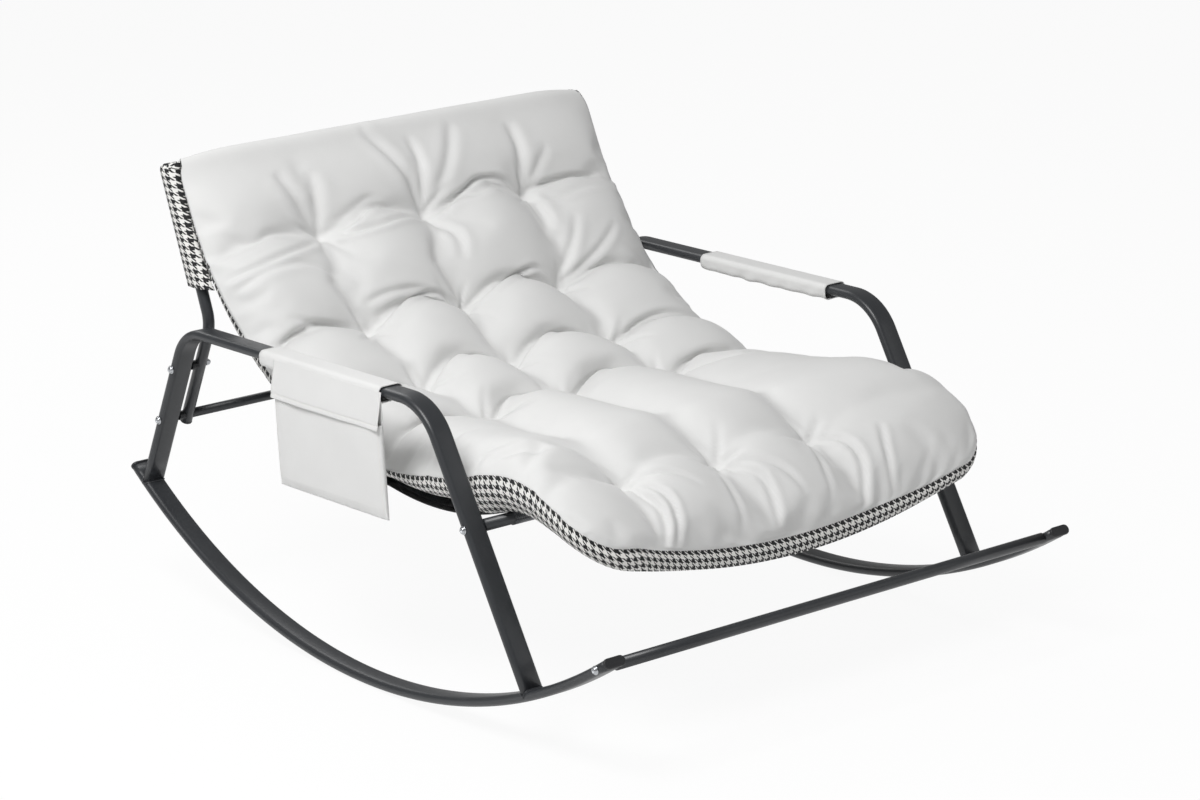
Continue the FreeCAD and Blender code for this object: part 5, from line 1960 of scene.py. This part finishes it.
def stitch(centre: Array, along: Array, length: float, radius: float = 0.45) -> Form:
    """One stitch of thread, a small tapered bar."""
    along = along / np.linalg.norm(along)
    aside = np.cross(along, [1.0, 0.0, 0.0])
    aside /= np.linalg.norm(aside)
    up = np.cross(along, aside)
    points = []
    for place, size in ((-0.5, 0.35), (-0.25, 1.0), (0.25, 1.0), (0.5, 0.35)):
        for turn in np.arange(5) * math.tau / 5.0:
            spoke = (aside * math.cos(turn) + up * math.sin(turn)) * radius * size
            points.append(centre + along * length * place + spoke)
    return np.array(points), tube_faces(4, 5)


# Floor, lights and camera.


@dataclass(frozen=True)
class Studio:
    """Plain white floor and backdrop, soft light and a camera at the photograph's angle."""

    azimuth: float = -40.31
    elevation: float = 16.56
    focal_pixels: float = 4060.06
    image_width: float = 1200.0
    sensor: float = 36.0
    aim: tuple[float, float, float] = (-0.01554, -0.0416, 0.48631)
    distance: float = 8.41088
    floor_half: float = 30.0
    ambient: float = 0.27

    def camera(self) -> None:
        """Place the camera."""
        az, el = math.radians(self.azimuth), math.radians(self.elevation)
        back = Vector((math.sin(az) * math.cos(el), -math.cos(az) * math.cos(el), math.sin(el)))
        lens = bpy.data.cameras.new("photo_camera")
        lens.sensor_width = self.sensor
        lens.lens = self.focal_pixels * self.sensor / self.image_width
        lens.clip_end = 200.0
        camera = bpy.data.objects.new("photo_camera", lens)
        camera.location = Vector(self.aim) + back * self.distance
        camera.rotation_euler = back.to_track_quat("Z", "Y").to_euler()
        bpy.context.scene.collection.objects.link(camera)
        bpy.context.scene.camera = camera

    def seen_plain(self, tree: bpy.types.NodeTree) -> bpy.types.NodeSocket:
        """1 for rays from the camera, or seen in gloss or through glass."""
        path = add_node(tree, "ShaderNodeLightPath")
        seen = maths(tree, "MAXIMUM", path.outputs["Is Camera Ray"], path.outputs["Is Glossy Ray"])
        return maths(tree, "MAXIMUM", seen, path.outputs["Is Transmission Ray"])

    def world(self) -> None:
        """White surroundings that light the chair softly."""
        world = bpy.data.worlds.new("studio_white")
        bpy.context.scene.world = world
        world.use_nodes = True
        tree = world.node_tree
        tree.nodes.clear()
        soft = add_node(tree, "ShaderNodeBackground", {"Color": linear("#FFFFFF"), "Strength": self.ambient})
        plain = add_node(tree, "ShaderNodeBackground", {"Color": linear("#FFFFFF"), "Strength": 1.0})
        path = add_node(tree, "ShaderNodeLightPath")
        mix = add_node(tree, "ShaderNodeMixShader", links={
            0: path.outputs["Is Camera Ray"], 1: soft.outputs[0], 2: plain.outputs[0]})
        add_node(tree, "ShaderNodeOutputWorld", links={"Surface": mix.outputs[0]})

    def floor(self) -> None:
        """Matte white floor that keeps a faint shadow."""
        material = bpy.data.materials.new("matte_white_floor")
        material.use_nodes = True
        tree = material.node_tree
        tree.nodes.clear()
        lit = add_node(tree, "ShaderNodeBsdfDiffuse", {"Color": linear("#FDFDFD")})
        plain = add_node(tree, "ShaderNodeEmission", {"Color": linear("#FFFFFF"), "Strength": 1.0})
        share = maths(tree, "MULTIPLY", self.seen_plain(tree), 0.93)
        mix = add_node(tree, "ShaderNodeMixShader", links={0: share, 1: lit.outputs[0], 2: plain.outputs[0]})
        add_node(tree, "ShaderNodeOutputMaterial", links={"Surface": mix.outputs[0]})
        reach = self.floor_half
        mesh = bpy.data.meshes.new("studio_floor")
        corners = [(-reach, -reach, 0.0), (reach, -reach, 0.0), (reach, reach, 0.0), (-reach, reach, 0.0)]
        mesh.from_pydata(corners, [], [[0, 1, 2, 3]])
        mesh.materials.append(material)
        floor = bpy.data.objects.new("studio_floor", mesh)
        floor.location.z = -0.0015
        bpy.context.scene.collection.objects.link(floor)

    def lights(self) -> None:
        """Large soft boxes: key from the upper left, weaker fill from the right, low rim behind."""
        boxes = (("key_box", (-2.9, -0.7, 4.3), 2.0, 172.0), ("fill_box", (2.6, -3.8, 2.4), 2.8, 16.0),
                 ("rim_box", (0.6, 3.6, 3.4), 2.4, 48.0))
        for name, place, size, power in boxes:
            lamp = bpy.data.lights.new(name, "AREA")
            lamp.shape = "SQUARE"
            lamp.size = size
            lamp.energy = power
            box = bpy.data.objects.new(name, lamp)
            box.location = place
            box.rotation_euler = (Vector(place) - Vector((0.0, 0.0, 0.45))).to_track_quat("Z", "Y").to_euler()
            bpy.context.scene.collection.objects.link(box)

    def build(self) -> None:
        """Set up the studio."""
        self.world()
        self.floor()
        self.lights()
        self.camera()
        bpy.context.scene.view_settings.view_transform = "Standard"


def main() -> None:
    """Build the chair and its studio."""
    logging.basicConfig(level=logging.INFO, format="%(name)s: %(message)s")
    finishes = Finishes()
    SteelFrame(finishes).build()
    Hardware(finishes).build()
    hammock = Hammock(finishes)
    hammock.build()
    cushion = Cushion(finishes, hammock)
    cushion.build()
    Hood(finishes, cushion).build()
    for side in Side:
        ArmSleeve(finishes, side).build()
    SidePouch(finishes).build()
    Studio().build()


if __name__ == "__main__":
    main()
